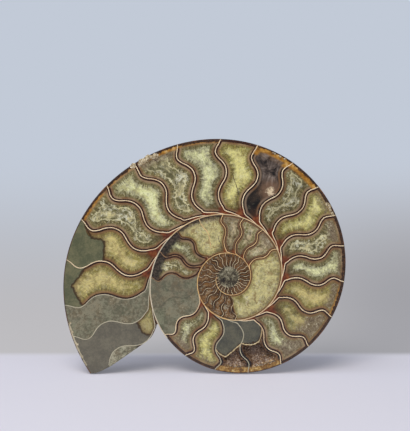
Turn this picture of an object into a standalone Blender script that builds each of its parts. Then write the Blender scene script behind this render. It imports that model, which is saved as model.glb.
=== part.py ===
"""A cut and polished half of a coiled ammonite, leaning on a small black steel stand.

The fossil is one solid: a flat sawn face in front, the domed and ribbed shell behind, and a broken last chamber.
The stand is a round base on felt, a leaning post, and two rests with felt pads against the back of the shell.
Units are metres, +Z is up, and the sawn face looks towards -Y.
"""

import math

import bmesh
import bpy
from mathutils import Matrix, Vector

MM = 0.001
FULL_TURN = 360.0

# Radius of the shell wall, measured on the sawn face from the middle of the coil. The angle is in degrees,
# anticlockwise from the right, and keeps growing turn after turn up to the broken end.
COIL_FIRST_ANGLE = -420.0
COIL_STEP = 60.0
COIL_RADII_MM = (
    12.0, 12.9, 13.5, 14.6, 17.7, 22.2,
    26.5, 30.3, 33.7, 37.6, 44.2, 51.0,
    57.9, 66.2, 74.8, 82.3, 93.8, 96.8, 99.5,
)
BREAK_ANGLE = 572.8
NOTCH_ANGLE = BREAK_ANGLE - FULL_TURN
INNERMOST_ANGLE = NOTCH_ANGLE - FULL_TURN

# Degrees by which the broken edge runs ahead of the ray through the notch: (radius in mm, degrees).
BREAK_LINE = (
    (97.0, 1.5), (94.0, 3.0), (90.0, 3.7), (85.0, 4.3), (75.0, 4.7), (68.0, 4.9), (60.0, 5.5), (56.0, 5.2),
    (53.0, 4.0), (51.0, 2.4), (49.5, 0.6), (48.0, 0.0),
)
BREAK_BLEND = 14.0                       # degrees of shell over which that line fades out

# The half whorl in section, as shares of the whorl's own outer radius.
HALF_THICKNESS = 0.225
THICKEST_AT = 0.55
SHOULDER_AT = 0.34
SEAM_AT = 0.26
SHOULDER_DROP = 0.10                     # share of the thickness lost between the thickest line and the shoulder
RIBS_PER_TURN = 30
RIB_HEIGHT = 0.022                       # share of the half thickness
RIB_SWEEP = 8.0                          # degrees by which a rib bends forward at mid flank
RIBS_FROM, RIBS_TO = 0.42, 0.97

TURN_SEGMENTS = 150
FLANK_ROWS = 9
UMBILICAL_ROWS = 4
RAY_ROWS = 13                            # points along the broken edge of the sawn face

# Hollows that the crystals left open in the sawn face, each cut by a ball whose middle stands in front of it:
# angle, radius, half width, half height and half depth of the ball in mm.
HOLLOWS = (
    (293.5, 47.4, 8.3, 5.2, 5.6),
    (274.8, 46.6, 4.4, 2.9, 3.0),
)
BALL_IN_FRONT = 0.8 * MM

LEAN = math.radians(6.0)                 # the sawn face leans back
GAP = 0.3 * MM                           # clearance between pieces that touch

# The stand. Distances behind the face are measured square to it.
STAND_X = 9.0 * MM                       # right of the coil's middle, over the lowest point of the rim
FELT_THICK = 1.0 * MM
BASE_RADIUS, BASE_THICK, BASE_EDGE = 19.0 * MM, 5.0 * MM, 1.0 * MM
BASE_BEHIND_RIM = 35.0 * MM              # from the rim's lowest point back to the middle of the base
POST_RADIUS = 3.0 * MM
PAD_THICK = 2.0 * MM
REST_EDGE = 1.2 * MM
UPPER_REST = {"rise": 40.0 * MM, "width": 40.0 * MM, "height": 10.0 * MM}
LOWER_REST = {"rise": -31.0 * MM, "width": 18.0 * MM, "height": 9.0 * MM}
REST_THICK = 4.0 * MM
POST_ABOVE_REST = 9.0 * MM


def coil_radius(angle):
    """Radius of the shell wall at a running angle, as a smooth curve through the measured radii."""
    place = (angle - COIL_FIRST_ANGLE) / COIL_STEP
    last = len(COIL_RADII_MM) - 2
    i = min(max(int(math.floor(place)), 0), last)
    t = place - i
    before, start = COIL_RADII_MM[max(i - 1, 0)], COIL_RADII_MM[i]
    end, after = COIL_RADII_MM[i + 1], COIL_RADII_MM[min(i + 2, last + 1)]
    leave, arrive = (end - before) / 2, (after - start) / 2
    return MM * (
        (2 * t**3 - 3 * t**2 + 1) * start
        + (t**3 - 2 * t**2 + t) * leave
        + (3 * t**2 - 2 * t**3) * end
        + (t**3 - t**2) * arrive
    )


GROWTH = coil_radius(BREAK_ANGLE) / coil_radius(NOTCH_ANGLE)


def seam_radius(angle):
    """Where a whorl meets the one inside it, on the back of the shell."""
    return SEAM_AT * coil_radius(angle)


def cover_radius(angle):
    """How far in the next turn reaches over this one. Over the last turn it is the line where it would lie."""
    if angle < NOTCH_ANGLE + 1e-6:
        return seam_radius(angle + FULL_TURN)
    return SEAM_AT * GROWTH * coil_radius(angle)


def smooth_step(value, start, end):
    """0 at start, 1 at end, and smooth between them."""
    t = min(max((value - start) / (end - start), 0.0), 1.0)
    return t * t * (3 - 2 * t)


def rib(angle, share):
    """Height of the ribs as a share of the thickness: sickle-shaped, and gone at the rim and the umbilicus."""
    window = smooth_step(share, RIBS_FROM, RIBS_FROM + 0.16) * (1 - smooth_step(share, RIBS_TO - 0.12, RIBS_TO))
    phase = angle + RIB_SWEEP * math.sin(math.pi * (share - RIBS_FROM) / (RIBS_TO - RIBS_FROM))
    return RIB_HEIGHT * window * math.cos(math.radians(RIBS_PER_TURN * phase))


def flank_depth(angle, radius):
    """How far the outside of the shell lies behind the sawn face."""
    whorl = coil_radius(angle)
    thick = HALF_THICKNESS * whorl
    share = radius / whorl
    if share >= THICKEST_AT:
        across = min((share - THICKEST_AT) / (1 - THICKEST_AT), 1.0)
        return thick * (math.sqrt(1 - across * across) + rib(angle, share) * math.sqrt(1 - across**4))
    inward = (THICKEST_AT - share) / (THICKEST_AT - SHOULDER_AT)
    if share >= SHOULDER_AT:
        return thick * (1 - SHOULDER_DROP * inward * inward + rib(angle, share))
    if angle - FULL_TURN > INNERMOST_ANGLE - 1e-6:
        seam = flank_depth(angle - FULL_TURN, seam_radius(angle))
    else:
        seam = thick / GROWTH
    shoulder = thick * (1 - SHOULDER_DROP)
    return seam + (shoulder - seam) * smooth_step(share, SEAM_AT, SHOULDER_AT)


def break_offset(radius):
    """Degrees by which the broken edge runs ahead of its ray at a radius."""
    points = [(r * MM, degrees) for r, degrees in BREAK_LINE]
    if radius >= points[0][0]:
        return points[0][1]
    for (outer, a), (inner, b) in zip(points, points[1:]):
        if radius >= inner:
            return b + (a - b) * (radius - inner) / (outer - inner)
    return points[-1][1]


def on_coil(angle, radius, depth):
    """A point of the fossil in its own frame: the coil's middle is the origin and the sawn face is Y = 0."""
    fade = smooth_step(angle, BREAK_ANGLE - BREAK_BLEND, BREAK_ANGLE)
    turn = math.radians(angle + fade * break_offset(radius))
    return Vector((radius * math.cos(turn), depth, radius * math.sin(turn)))


def flank_row_radius(angle, row):
    """Radius of a row of the flank: 0 is the rim, where rows are close together, and 1 the cover line."""
    rim, inner = coil_radius(angle), cover_radius(angle)
    return rim - (rim - inner) * (1 - math.cos(row * math.pi / 2))


def umbilical_row_radius(angle, row):
    """Radius of a row between the cover line, 0, and the seam, 1."""
    outer, inner = cover_radius(angle), seam_radius(angle)
    return outer + (inner - outer) * row


def add_skin(mesh, first, last, segments, rows, row_radius):
    """Adds a strip of the shell's outside: a grid bent onto the coil."""
    made = bmesh.ops.create_grid(mesh, x_segments=segments, y_segments=rows, size=1.0)
    for vertex in made["verts"]:
        angle = first + (last - first) * (vertex.co.x + 1) / 2
        radius = row_radius(angle, (vertex.co.y + 1) / 2)
        vertex.co = on_coil(angle, radius, flank_depth(angle, radius))


def add_break_edge(mesh):
    """Adds the edge between the sawn face and the broken one, from the outer tip to the notch."""
    outer, inner = coil_radius(BREAK_ANGLE), coil_radius(NOTCH_ANGLE)
    radii = [outer + (inner - outer) * i / RAY_ROWS for i in range(RAY_ROWS + 1)]
    points = [mesh.verts.new(on_coil(BREAK_ANGLE, radius, 0.0)) for radius in radii]
    points[-1].co = on_coil(NOTCH_ANGLE, inner, 0.0)
    return [mesh.edges.new(pair) for pair in zip(points, points[1:])]


def close_hole(mesh, edges, normal):
    """Fills an open loop with triangles that face along the normal."""
    made = bmesh.ops.triangle_fill(mesh, use_beauty=True, edges=edges, normal=normal)
    return [part for part in made["geom"] if isinstance(part, bmesh.types.BMFace)]


def fossil_mesh():
    """The whole fossil in its own frame, before the hollows are cut."""
    mesh = bmesh.new()
    add_skin(mesh, NOTCH_ANGLE, BREAK_ANGLE, TURN_SEGMENTS, FLANK_ROWS, flank_row_radius)
    add_skin(mesh, INNERMOST_ANGLE, BREAK_ANGLE, 2 * TURN_SEGMENTS, UMBILICAL_ROWS, umbilical_row_radius)
    add_break_edge(mesh)
    bmesh.ops.remove_doubles(mesh, verts=mesh.verts[:], dist=1e-6)

    flat = [e for e in mesh.edges if all(abs(v.co.y) < 1e-7 for v in e.verts)]
    close_hole(mesh, flat, Vector((0, -1, 0)))

    core_radius = seam_radius(NOTCH_ANGLE) * 1.001
    core = [e for e in mesh.edges if e.is_boundary and all(v.co.xz.length < core_radius for v in e.verts)]
    close_hole(mesh, core, Vector((0, 1, 0)))

    across_break = Matrix.Rotation(math.radians(-BREAK_ANGLE), 3, "Y") @ Vector((0, 0, 1))
    close_hole(mesh, [e for e in mesh.edges if e.is_boundary], across_break)
    bmesh.ops.recalc_face_normals(mesh, faces=mesh.faces[:])
    made = bpy.data.meshes.new("fossil_half")
    mesh.to_mesh(made)
    mesh.free()
    return made


def principled(name, colour, roughness, metallic=0.0):
    """A plain material of one colour."""
    material = bpy.data.materials.new(name)
    material.use_nodes = True
    shader = material.node_tree.nodes["Principled BSDF"]
    shader.inputs["Base Color"].default_value = (*colour, 1.0)
    shader.inputs["Roughness"].default_value = roughness
    shader.inputs["Metallic"].default_value = metallic
    material.diffuse_color = (*colour, 1.0)
    return material


def add_object(name, mesh, material, parent=None):
    """Links a mesh to the parts as one named object."""
    mesh.materials.append(material)
    made = bpy.data.objects.new(name, mesh)
    parts.objects.link(made)
    made.parent = parent
    return made


def block(name, size, edge, material, parent, location):
    """A box with rounded edges."""
    mesh = bmesh.new()
    bmesh.ops.create_cube(mesh, size=1.0, matrix=Matrix.Diagonal((*size, 1.0)))
    made_mesh = bpy.data.meshes.new(name)
    mesh.to_mesh(made_mesh)
    mesh.free()
    made = add_object(name, made_mesh, material, parent)
    made.location = location
    round_edges(made, edge)
    return made


def round_edges(piece, width):
    """Rounds the sharp edges of a piece."""
    bevel = piece.modifiers.new("Rounded edges", "BEVEL")
    bevel.width = width
    bevel.segments = 2
    bevel.limit_method = "ANGLE"


def disc(name, radius, thick, material, parent, location, sides=48):
    """An upright cylinder whose bottom is at the location."""
    mesh = bmesh.new()
    bmesh.ops.create_cone(
        mesh, cap_ends=True, segments=sides, radius1=radius, radius2=radius, depth=thick,
        matrix=Matrix.Translation((0, 0, thick / 2)),
    )
    made_mesh = bpy.data.meshes.new(name)
    mesh.to_mesh(made_mesh)
    mesh.free()
    made = add_object(name, made_mesh, material, parent)
    made.location = location
    return made


def deepest(width, rise, height):
    """How far behind the face the shell reaches within a pad's outline."""
    steps = 12
    reach = 0.0
    for i in range(steps + 1):
        for j in range(steps + 1):
            x = STAND_X + width * (i / steps - 0.5)
            z = rise + height * (j / steps - 0.5)
            turn = math.degrees(math.atan2(z, x)) % FULL_TURN
            angle = turn if turn > NOTCH_ANGLE else turn + FULL_TURN
            reach = max(reach, flank_depth(angle, math.hypot(x, z)))
    return reach


for leftover in list(bpy.data.objects):
    bpy.data.objects.remove(leftover, do_unlink=True)

parts = bpy.data.collections.new("ammonite_fossil_half_on_stand")
cutters = bpy.data.collections.new("cutters")
bpy.context.scene.collection.children.link(parts)
bpy.context.scene.collection.children.link(cutters)

calcite = principled("polished calcite and shell", (0.36, 0.33, 0.20), 0.25)
black_steel = principled("black painted steel", (0.02, 0.02, 0.022), 0.45)
grey_felt = principled("dark grey felt", (0.06, 0.06, 0.065), 0.95)

# Everything hangs from one empty, which brings the middle of the whole object's outline over the origin.
stand_point = bpy.data.objects.new("stand_point", None)
parts.objects.link(stand_point)

# The fossil, in a frame that leans back and stands on the lowest points of the rim.
fossil = add_object("fossil_half", fossil_mesh(), calcite)
lean = Matrix.Rotation(-LEAN, 4, "X")
coil_height = -min((lean @ v.co).z for v in fossil.data.vertices)
fossil_frame = bpy.data.objects.new("leaning_frame", None)
parts.objects.link(fossil_frame)
fossil_frame.parent = stand_point
fossil_frame.location = (0, 0, coil_height)
fossil_frame.rotation_euler = (-LEAN, 0, 0)
fossil.parent = fossil_frame
fossil.data.shade_smooth()
fossil.data.set_sharp_from_angle(angle=math.radians(35))

for number, (angle, radius, half_width, half_height, depth) in enumerate(HOLLOWS):
    turn = math.radians(angle)
    mesh = bmesh.new()
    bmesh.ops.create_uvsphere(mesh, u_segments=24, v_segments=14, radius=1.0)
    bmesh.ops.scale(mesh, vec=Vector((half_height, depth, half_width)) * MM, verts=mesh.verts[:])
    cutter_mesh = bpy.data.meshes.new(f"hollow_{number}")
    mesh.to_mesh(cutter_mesh)
    mesh.free()
    cutter = bpy.data.objects.new(f"hollow_{number}", cutter_mesh)
    cutters.objects.link(cutter)
    cutter.parent = fossil_frame
    cutter.location = (radius * MM * math.cos(turn), -BALL_IN_FRONT, radius * MM * math.sin(turn))
    cutter.rotation_euler = (0, -turn, 0)
    cutter.hide_render = True
    cutter.display_type = "WIRE"
    cut = fossil.modifiers.new(f"Hollow {number}", "BOOLEAN")
    cut.operation = "DIFFERENCE"
    cut.object = cutter
    cut.solver = "EXACT"

# The stand's post is parallel to the sawn face, behind the deepest part of the shell that the upper pad meets.
pad_face = {
    "upper": deepest(UPPER_REST["width"], UPPER_REST["rise"], UPPER_REST["height"]) + GAP,
    "lower": deepest(LOWER_REST["width"], LOWER_REST["rise"], LOWER_REST["height"]) + GAP,
}
post_front = pad_face["upper"] + PAD_THICK + GAP + REST_THICK + GAP

for level, rest in (("upper", UPPER_REST), ("lower", LOWER_REST)):
    front = pad_face[level]
    size = (rest["width"], PAD_THICK, rest["height"])
    place = (STAND_X, front + PAD_THICK / 2, rest["rise"])
    block(f"{level}_pad", size, PAD_THICK / 4, grey_felt, fossil_frame, place)
    rest_front = front + PAD_THICK + GAP
    rest_back = post_front - GAP
    size = (rest["width"], rest_back - rest_front, rest["height"])
    place = (STAND_X, (rest_front + rest_back) / 2, rest["rise"])
    block(f"{level}_rest", size, REST_EDGE, black_steel, fossil_frame, place)

base_middle = Vector((STAND_X, BASE_BEHIND_RIM, 0))
base_bottom = base_middle + Vector((0, 0, FELT_THICK + GAP))
disc("base_felt", BASE_RADIUS - BASE_EDGE, FELT_THICK, grey_felt, stand_point, base_middle)
base = disc("stand_base", BASE_RADIUS, BASE_THICK, black_steel, stand_point, base_bottom)
round_edges(base, BASE_EDGE)
base_top = FELT_THICK + GAP + BASE_THICK

# The post: a rod along the face's own upright, cut level just above the base.
post_middle = post_front + POST_RADIUS
post_top = UPPER_REST["rise"] + POST_ABOVE_REST
post_length = post_top + coil_height * 1.5
mesh = bmesh.new()
bmesh.ops.create_cone(
    mesh, cap_ends=True, segments=32, radius1=POST_RADIUS, radius2=POST_RADIUS, depth=post_length,
    matrix=Matrix.Translation((STAND_X, post_middle, post_top - post_length / 2)),
)
to_world = Matrix.Translation((0, 0, coil_height)) @ lean
bmesh.ops.transform(mesh, matrix=to_world, verts=mesh.verts[:])
cut = bmesh.ops.bisect_plane(
    mesh, geom=mesh.verts[:] + mesh.edges[:] + mesh.faces[:], dist=1e-7,
    plane_co=Vector((0, 0, base_top + GAP)), plane_no=Vector((0, 0, -1)), clear_outer=True,
)
bmesh.ops.contextual_create(mesh, geom=[e for e in cut["geom_cut"] if isinstance(e, bmesh.types.BMEdge)])
bmesh.ops.recalc_face_normals(mesh, faces=mesh.faces[:])
post_mesh = bpy.data.meshes.new("stand_post")
mesh.to_mesh(post_mesh)
mesh.free()
post = add_object("stand_post", post_mesh, black_steel, stand_point)
round_edges(post, 0.5 * MM)

bpy.context.view_layer.update()
corners = [piece.matrix_world @ Vector(corner) for piece in parts.objects for corner in piece.bound_box
           if piece.type == "MESH"]
stand_point.location = (
    -(min(c.x for c in corners) + max(c.x for c in corners)) / 2,
    -(min(c.y for c in corners) + max(c.y for c in corners)) / 2,
    0,
)
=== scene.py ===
"""A sawn and polished ammonite half on its small steel stand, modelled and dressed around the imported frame.

The sawn face is built as the real one is: walls and septa of shell stand as thin ribbons between the fillings of
the chambers, and each filling is a slab of its own whose pattern follows the distance to the shell around it.
"""

import logging
import math
from collections.abc import Callable, Iterable, Sequence
from dataclasses import dataclass
from enum import Enum

import bmesh
import bpy
from mathutils import Matrix, Vector, noise
from mathutils.kdtree import KDTree


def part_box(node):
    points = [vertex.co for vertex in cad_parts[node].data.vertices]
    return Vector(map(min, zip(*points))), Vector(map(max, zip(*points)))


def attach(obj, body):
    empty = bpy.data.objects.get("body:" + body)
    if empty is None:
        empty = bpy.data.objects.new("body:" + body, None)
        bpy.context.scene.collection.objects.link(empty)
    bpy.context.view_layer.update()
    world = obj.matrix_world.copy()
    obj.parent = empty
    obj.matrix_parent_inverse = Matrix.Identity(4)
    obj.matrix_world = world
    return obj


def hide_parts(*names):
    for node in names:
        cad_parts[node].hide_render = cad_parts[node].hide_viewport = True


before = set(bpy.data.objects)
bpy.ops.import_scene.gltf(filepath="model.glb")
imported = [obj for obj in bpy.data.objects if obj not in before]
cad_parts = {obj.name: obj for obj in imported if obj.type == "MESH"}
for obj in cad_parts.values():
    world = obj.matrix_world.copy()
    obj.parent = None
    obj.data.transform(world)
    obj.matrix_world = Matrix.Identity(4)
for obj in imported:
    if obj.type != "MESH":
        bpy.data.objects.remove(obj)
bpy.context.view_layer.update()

MM = 0.001
FULL_TURN = 360.0
BODY = "root"
FOSSIL_NODE = "fossil_half"
LEAN = math.radians(6.0)                 # the sawn face leans back
BREAK_ANGLE = 572.8                      # the ray through the notch, where the last turn is broken off
NOTCH_ANGLE = BREAK_ANGLE - FULL_TURN
INNERMOST_ANGLE = NOTCH_ANGLE - FULL_TURN
OPEN_CHAMBER_END = -86.0                 # where the crystal of the long chamber meets the brown early whorls
FIRST_CHAMBER = 5.9                      # radius in mm of the round first chamber, where the coil starts
RIM_BAND = 0.45                          # mm of bare shell around the fillings
SHARP_EDGE = math.radians(38)            # edges that turn more than this are shaded sharp

Edge = Callable[[float], float]          # a running angle, by share of the way across the whorl
Polar = tuple[float, float]              # a running angle in degrees and a radius in mm

log = logging.getLogger("ammonite")


def smooth_step(value: float, start: float, end: float) -> float:
    """Eases from 0 at start to 1 at end."""
    t = min(max((value - start) / (end - start), 0.0), 1.0)
    return t * t * (3 - 2 * t)


def cubic(t: float, start: float, leave: float, end: float, arrive: float) -> float:
    """Runs from start at t = 0 to end at t = 1, with the slopes leave and arrive there."""
    return (
        (2 * t**3 - 3 * t**2 + 1) * start + (t**3 - 2 * t**2 + t) * leave
        + (3 * t**2 - 2 * t**3) * end + (t**3 - t**2) * arrive
    )


def through(knots: Sequence[tuple[float, float]], place: float) -> float:
    """Reads a smooth curve through its knots.

    Args:
        knots: pairs of place and value, with the places rising.
        place: where to read it; past the ends the end values hold.

    Returns:
        The value there, by cubic pieces whose slopes come from the knots on either side.
    """
    if place <= knots[0][0]:
        return knots[0][1]
    if place >= knots[-1][0]:
        return knots[-1][1]
    i = max(k for k in range(len(knots) - 1) if knots[k][0] <= place)
    (x0, y0), (x1, y1) = knots[i], knots[i + 1]
    before, after = knots[max(i - 1, 0)], knots[min(i + 2, len(knots) - 1)]
    span = x1 - x0
    leave = (y1 - before[1]) / (x1 - before[0]) * span
    arrive = (after[1] - y0) / (after[0] - x0) * span
    return cubic((place - x0) / span, y0, leave, y1, arrive)


@dataclass(frozen=True)
class Coil:
    """The spiral of the shell wall, as read on the sawn face.

    Attributes:
        first: running angle of the first radius, in degrees, anticlockwise from the right.
        step: degrees between radii.
        radii: distance from the middle of the coil to the wall, in mm.
    """

    first: float = -600.0
    step: float = 60.0
    radii: tuple[float, ...] = (
        4.6, 6.9, 9.0, 11.1, 12.6, 13.2, 14.4, 17.3, 21.9, 26.5, 30.3,
        33.7, 37.6, 44.2, 51.0, 57.9, 66.2, 74.8, 82.3, 93.8, 96.8, 99.5,
    )

    def radius(self, angle: float) -> float:
        """Finds the wall.

        Args:
            angle: running angle in degrees.

        Returns:
            The wall's radius there, in mm.
        """
        place = max((angle - self.first) / self.step, 0.0)
        last = len(self.radii) - 2
        i = min(int(place), last)
        before, start = self.radii[max(i - 1, 0)], self.radii[i]
        end, after = self.radii[i + 1], self.radii[min(i + 2, last + 1)]
        return cubic(place - i, start, (end - before) / 2, end, (after - start) / 2)

    def inner(self, angle: float) -> float:
        """Radius in mm of the wall one turn further in, or of the first chamber."""
        return max(self.radius(angle - FULL_TURN), FIRST_CHAMBER)

    def across(self, angle: float, share: float) -> Polar:
        """The point at a share of the way from the inner wall to the outer one."""
        inner = self.inner(angle)
        return angle, inner + (self.radius(angle) - inner) * share


COIL = Coil()
GROWTH = COIL.radius(BREAK_ANGLE) / COIL.radius(NOTCH_ANGLE)


@dataclass(frozen=True)
class Place:
    """Where the sawn face stands: its own frame has the coil's middle as origin and looks towards -Y.

    Attributes:
        middle_from_left: mm from the fossil's left side to the middle of the coil.
        lowest_below_middle: mm from the middle down the leaning face to its lowest point.
        middle_height: mm from the table up to the middle.
    """

    middle_from_left: float = 94.02
    lowest_below_middle: float = 54.95
    middle_height: float = 55.19

    def matrix(self) -> Matrix:
        """Finds the fossil's own frame, in metres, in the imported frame.

        Returns:
            The matrix from the face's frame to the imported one.
        """
        low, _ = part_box(FOSSIL_NODE)
        middle = Vector((
            low[0] + self.middle_from_left * MM,
            low[1] + self.lowest_below_middle * math.sin(LEAN) * MM,
            low[2] + self.middle_height * MM,
        ))
        return Matrix.Translation(middle) @ Matrix.Rotation(-LEAN, 4, "X")


TO_WORLD = Place().matrix()
INWARD = TO_WORLD.to_3x3() @ Vector((0, 1, 0))       # from the sawn face into the stone


def on_face(angle: float, radius: float, depth: float = 0.0) -> Vector:
    """A point of the fossil, in metres, from a running angle in degrees and mm of radius and depth."""
    turn = math.radians(angle)
    return TO_WORLD @ (Vector((radius * math.cos(turn), depth, radius * math.sin(turn))) * MM)


# The broken edge of the last chamber: radius in mm, and degrees ahead of the ray through the notch.
BREAK_LINE = (
    (48.0, 0.0), (49.5, 0.6), (51.0, 2.4), (53.0, 4.0), (56.0, 5.2), (60.0, 5.5),
    (68.0, 4.9), (75.0, 4.7), (85.0, 4.3), (90.0, 3.7), (94.0, 3.0), (97.0, 1.5),
)
BREAK_BLEND = 14.0                       # degrees over which the back is drawn to the broken edge


def break_offset(radius: float) -> float:
    """Reads the broken edge, straight from point to point.

    Args:
        radius: distance in mm from the middle of the coil.

    Returns:
        Degrees by which the edge runs ahead of its ray there.
    """
    if radius <= BREAK_LINE[0][0]:
        return BREAK_LINE[0][1]
    for (inner, a), (outer, b) in zip(BREAK_LINE, BREAK_LINE[1:]):
        if radius <= outer:
            return a + (b - a) * (radius - inner) / (outer - inner)
    return BREAK_LINE[-1][1]


@dataclass(frozen=True)
class Septum:
    """One dividing wall between chambers, an S drawn across the whorl.

    Attributes:
        trough: running angle in degrees of its middle dip.
        inner: degrees by which the bulge nearer the coil's middle runs ahead.
        outer: degrees by which the bulge nearer the rim runs ahead.
        end: degrees ahead where it meets the rim.
        neck: degrees ahead, mostly behind, where it sweeps into the inner wall.
        in_rock: whether it stands in mudstone, which leaves its line greyer than crystal does.
    """

    trough: float
    inner: float
    outer: float
    end: float
    neck: float
    in_rock: bool = False

    def angle(self, share: float) -> float:
        """Reads the S.

        Args:
            share: how far across the whorl, 0 at the inner wall and 1 at the rim.

        Returns:
            The running angle there, in degrees.
        """
        inner, outer, end = self.inner, self.outer, self.end
        return self.trough + through((
            (0.0, self.neck - 9.0), (0.015, self.neck - 4.5), (0.03, self.neck), (0.05, 0.2 * inner),
            (0.10, 0.58 * inner), (0.15, 0.85 * inner), (0.22, inner), (0.30, 0.93 * inner),
            (0.38, 0.62 * inner), (0.46, 0.22 * inner), (0.52, 0.04 * inner), (0.58, 0.0), (0.64, 0.08 * outer),
            (0.70, 0.35 * outer), (0.76, 0.75 * outer), (0.82, 0.94 * outer),
            (0.88, 0.80 * outer + 0.10 * end), (0.94, 0.35 * outer + 0.6 * end), (1.0, end),
        ), share)

    def path(self, low: float = 0.0, high: float = 1.0, count: int = 90) -> list[Polar]:
        """Points along it, between two shares of the whorl's width."""
        shares = [low + (high - low) * i / count for i in range(count + 1)]
        return [COIL.across(self.angle(share), share) for share in shares]


# The last turn, from the broken end back to the notch.
LAST_TURN = (
    Septum(572.8, 5.2, 4.6, 5.0, -2.6, in_rock=True),
    Septum(560.2, 5.7, 3.8, 0.3, -3.2, in_rock=True),
    Septum(548.0, 4.5, 3.8, 1.7, -2.5, in_rock=True),
    Septum(532.8, 6.5, 4.0, 1.0, -1.8),
    Septum(516.8, 6.6, 4.7, 1.7, -2.8),
    Septum(501.8, 6.4, 4.4, 1.2, -2.8),
    Septum(485.3, 6.7, 5.9, 4.4, -8.3),
    Septum(468.3, 6.7, 5.5, 2.7, -6.3),
    Septum(451.2, 5.8, 5.1, 2.0, -5.2),
    Septum(433.7, 5.8, 5.8, 3.8, -3.2),
    Septum(418.8, 5.9, 4.4, 1.7, -3.8),
    Septum(402.8, 5.5, 4.5, 2.2, -6.8),
    Septum(387.7, 5.5, 4.3, 2.3, -3.7),
    Septum(371.5, 5.3, 5.5, 3.5, -4.5),
    Septum(354.7, 4.6, 5.0, 2.8, -4.7),
    Septum(335.7, 5.3, 5.3, 3.0, -5.7),
    Septum(316.0, 5.5, 5.5, 3.0, -3.0),
    Septum(298.5, 4.8, 5.0, 2.5, -7.5),
    Septum(279.0, 5.8, 4.5, 2.5, -4.0, in_rock=True),
    Septum(259.8, 5.5, 5.5, 1.7, -2.8, in_rock=True),
    Septum(239.8, 5.2, 5.5, 1.2, -0.8),
    Septum(220.3, 6.2, 6.0, 1.7, -1.3),
)
# The turn inside it, where the septa stop short of a long open chamber that crystal filled. The first of them
# has left no line of shell in the rock.
SECOND_TURN = (
    Septum(200.0, 6.5, 4.0, 1.5, 0.0),
    Septum(177.0, 6.0, 7.0, 3.0, 1.0),
    Septum(157.5, 7.0, 5.2, 2.0, 1.5),
    Septum(134.8, 7.7, 5.7, 3.7, 4.2),
    Septum(93.5, 4.0, 4.5, 1.5, -0.5),
    Septum(73.0, 4.5, 5.0, 2.5, 0.0),
    Septum(51.5, 5.5, 4.5, 2.5, -1.5),
    Septum(29.0, 5.0, 3.0, 1.0, -1.0),
)
BY_THE_SOOT = 3                          # how many of the lines drawn there stand by smoky crystal


def early_septa() -> list[Septum]:
    """Sets out the close and uneven septa of the first whorls.

    Returns:
        The septa, from the open chamber inwards.
    """
    septa, angle = [], OPEN_CHAMBER_END
    while angle > -540.0:
        outer_whorl = angle > -240.0
        stray = noise.noise(Vector((angle * 0.11, 2.0, 5.0)))
        size = (1.0 if outer_whorl else 0.6) * (1 + 0.9 * stray)
        septa.append(Septum(angle + 5.0 * stray, 6.0 * size, 6.0 * size, 3.0 * size, 4.0))
        angle -= 16.5 if outer_whorl else 13.5
    return septa


def srgb(code: str) -> tuple[float, float, float, float]:
    """Turns an sRGB hex colour such as "A9A45C" to linear red, green, blue and alpha."""
    channels = (int(code[i:i + 2], 16) / 255 for i in (0, 2, 4))
    red, green, blue = (c / 12.92 if c <= 0.04045 else ((c + 0.055) / 1.055) ** 2.4 for c in channels)
    return (red, green, blue, 1.0)


class Signal:
    """What a node gives out inside a material; sums are done with it as with a number."""

    def __init__(self, nodes: "Nodes", socket: bpy.types.NodeSocket) -> None:
        """Keeps the output and the material that it belongs to."""
        self.nodes = nodes
        self.socket = socket

    def __add__(self, other: "Signal | float") -> "Signal":
        """Adds."""
        return self.nodes.maths("ADD", self, other)

    def __sub__(self, other: "Signal | float") -> "Signal":
        """Takes away."""
        return self.nodes.maths("SUBTRACT", self, other)

    def __rsub__(self, other: float) -> "Signal":
        """Is taken away from a number."""
        return self.nodes.maths("SUBTRACT", other, self)

    def __mul__(self, other: "Signal | float") -> "Signal":
        """Multiplies."""
        return self.nodes.maths("MULTIPLY", self, other)

    def __truediv__(self, other: float) -> "Signal":
        """Divides by a number."""
        return self.nodes.maths("DIVIDE", self, other)

    def __rtruediv__(self, other: float) -> "Signal":
        """Divides a number."""
        return self.nodes.maths("DIVIDE", other, self)

    def __abs__(self) -> "Signal":
        """Drops the sign."""
        return self.nodes.maths("ABSOLUTE", self)

    def ease(self, start: float, end: float) -> "Signal":
        """Maps smoothly from 0 at start to 1 at end; end may lie below start."""
        links = {"Value": self, "From Min": start, "From Max": end}
        return self.nodes.add("MapRange", links, interpolation_type="SMOOTHSTEP")

    def between(self, low: float, high: float) -> "Signal":
        """Spreads 0 to 1 over another range."""
        return self.nodes.add("MapRange", {"Value": self, "To Min": low, "To Max": high})


Feed = Signal | float | str | Sequence[float]        # what may go into a node; text is an sRGB hex colour
Stops = Sequence[tuple[float, str]]                  # a ramp's places and hex colours


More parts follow.
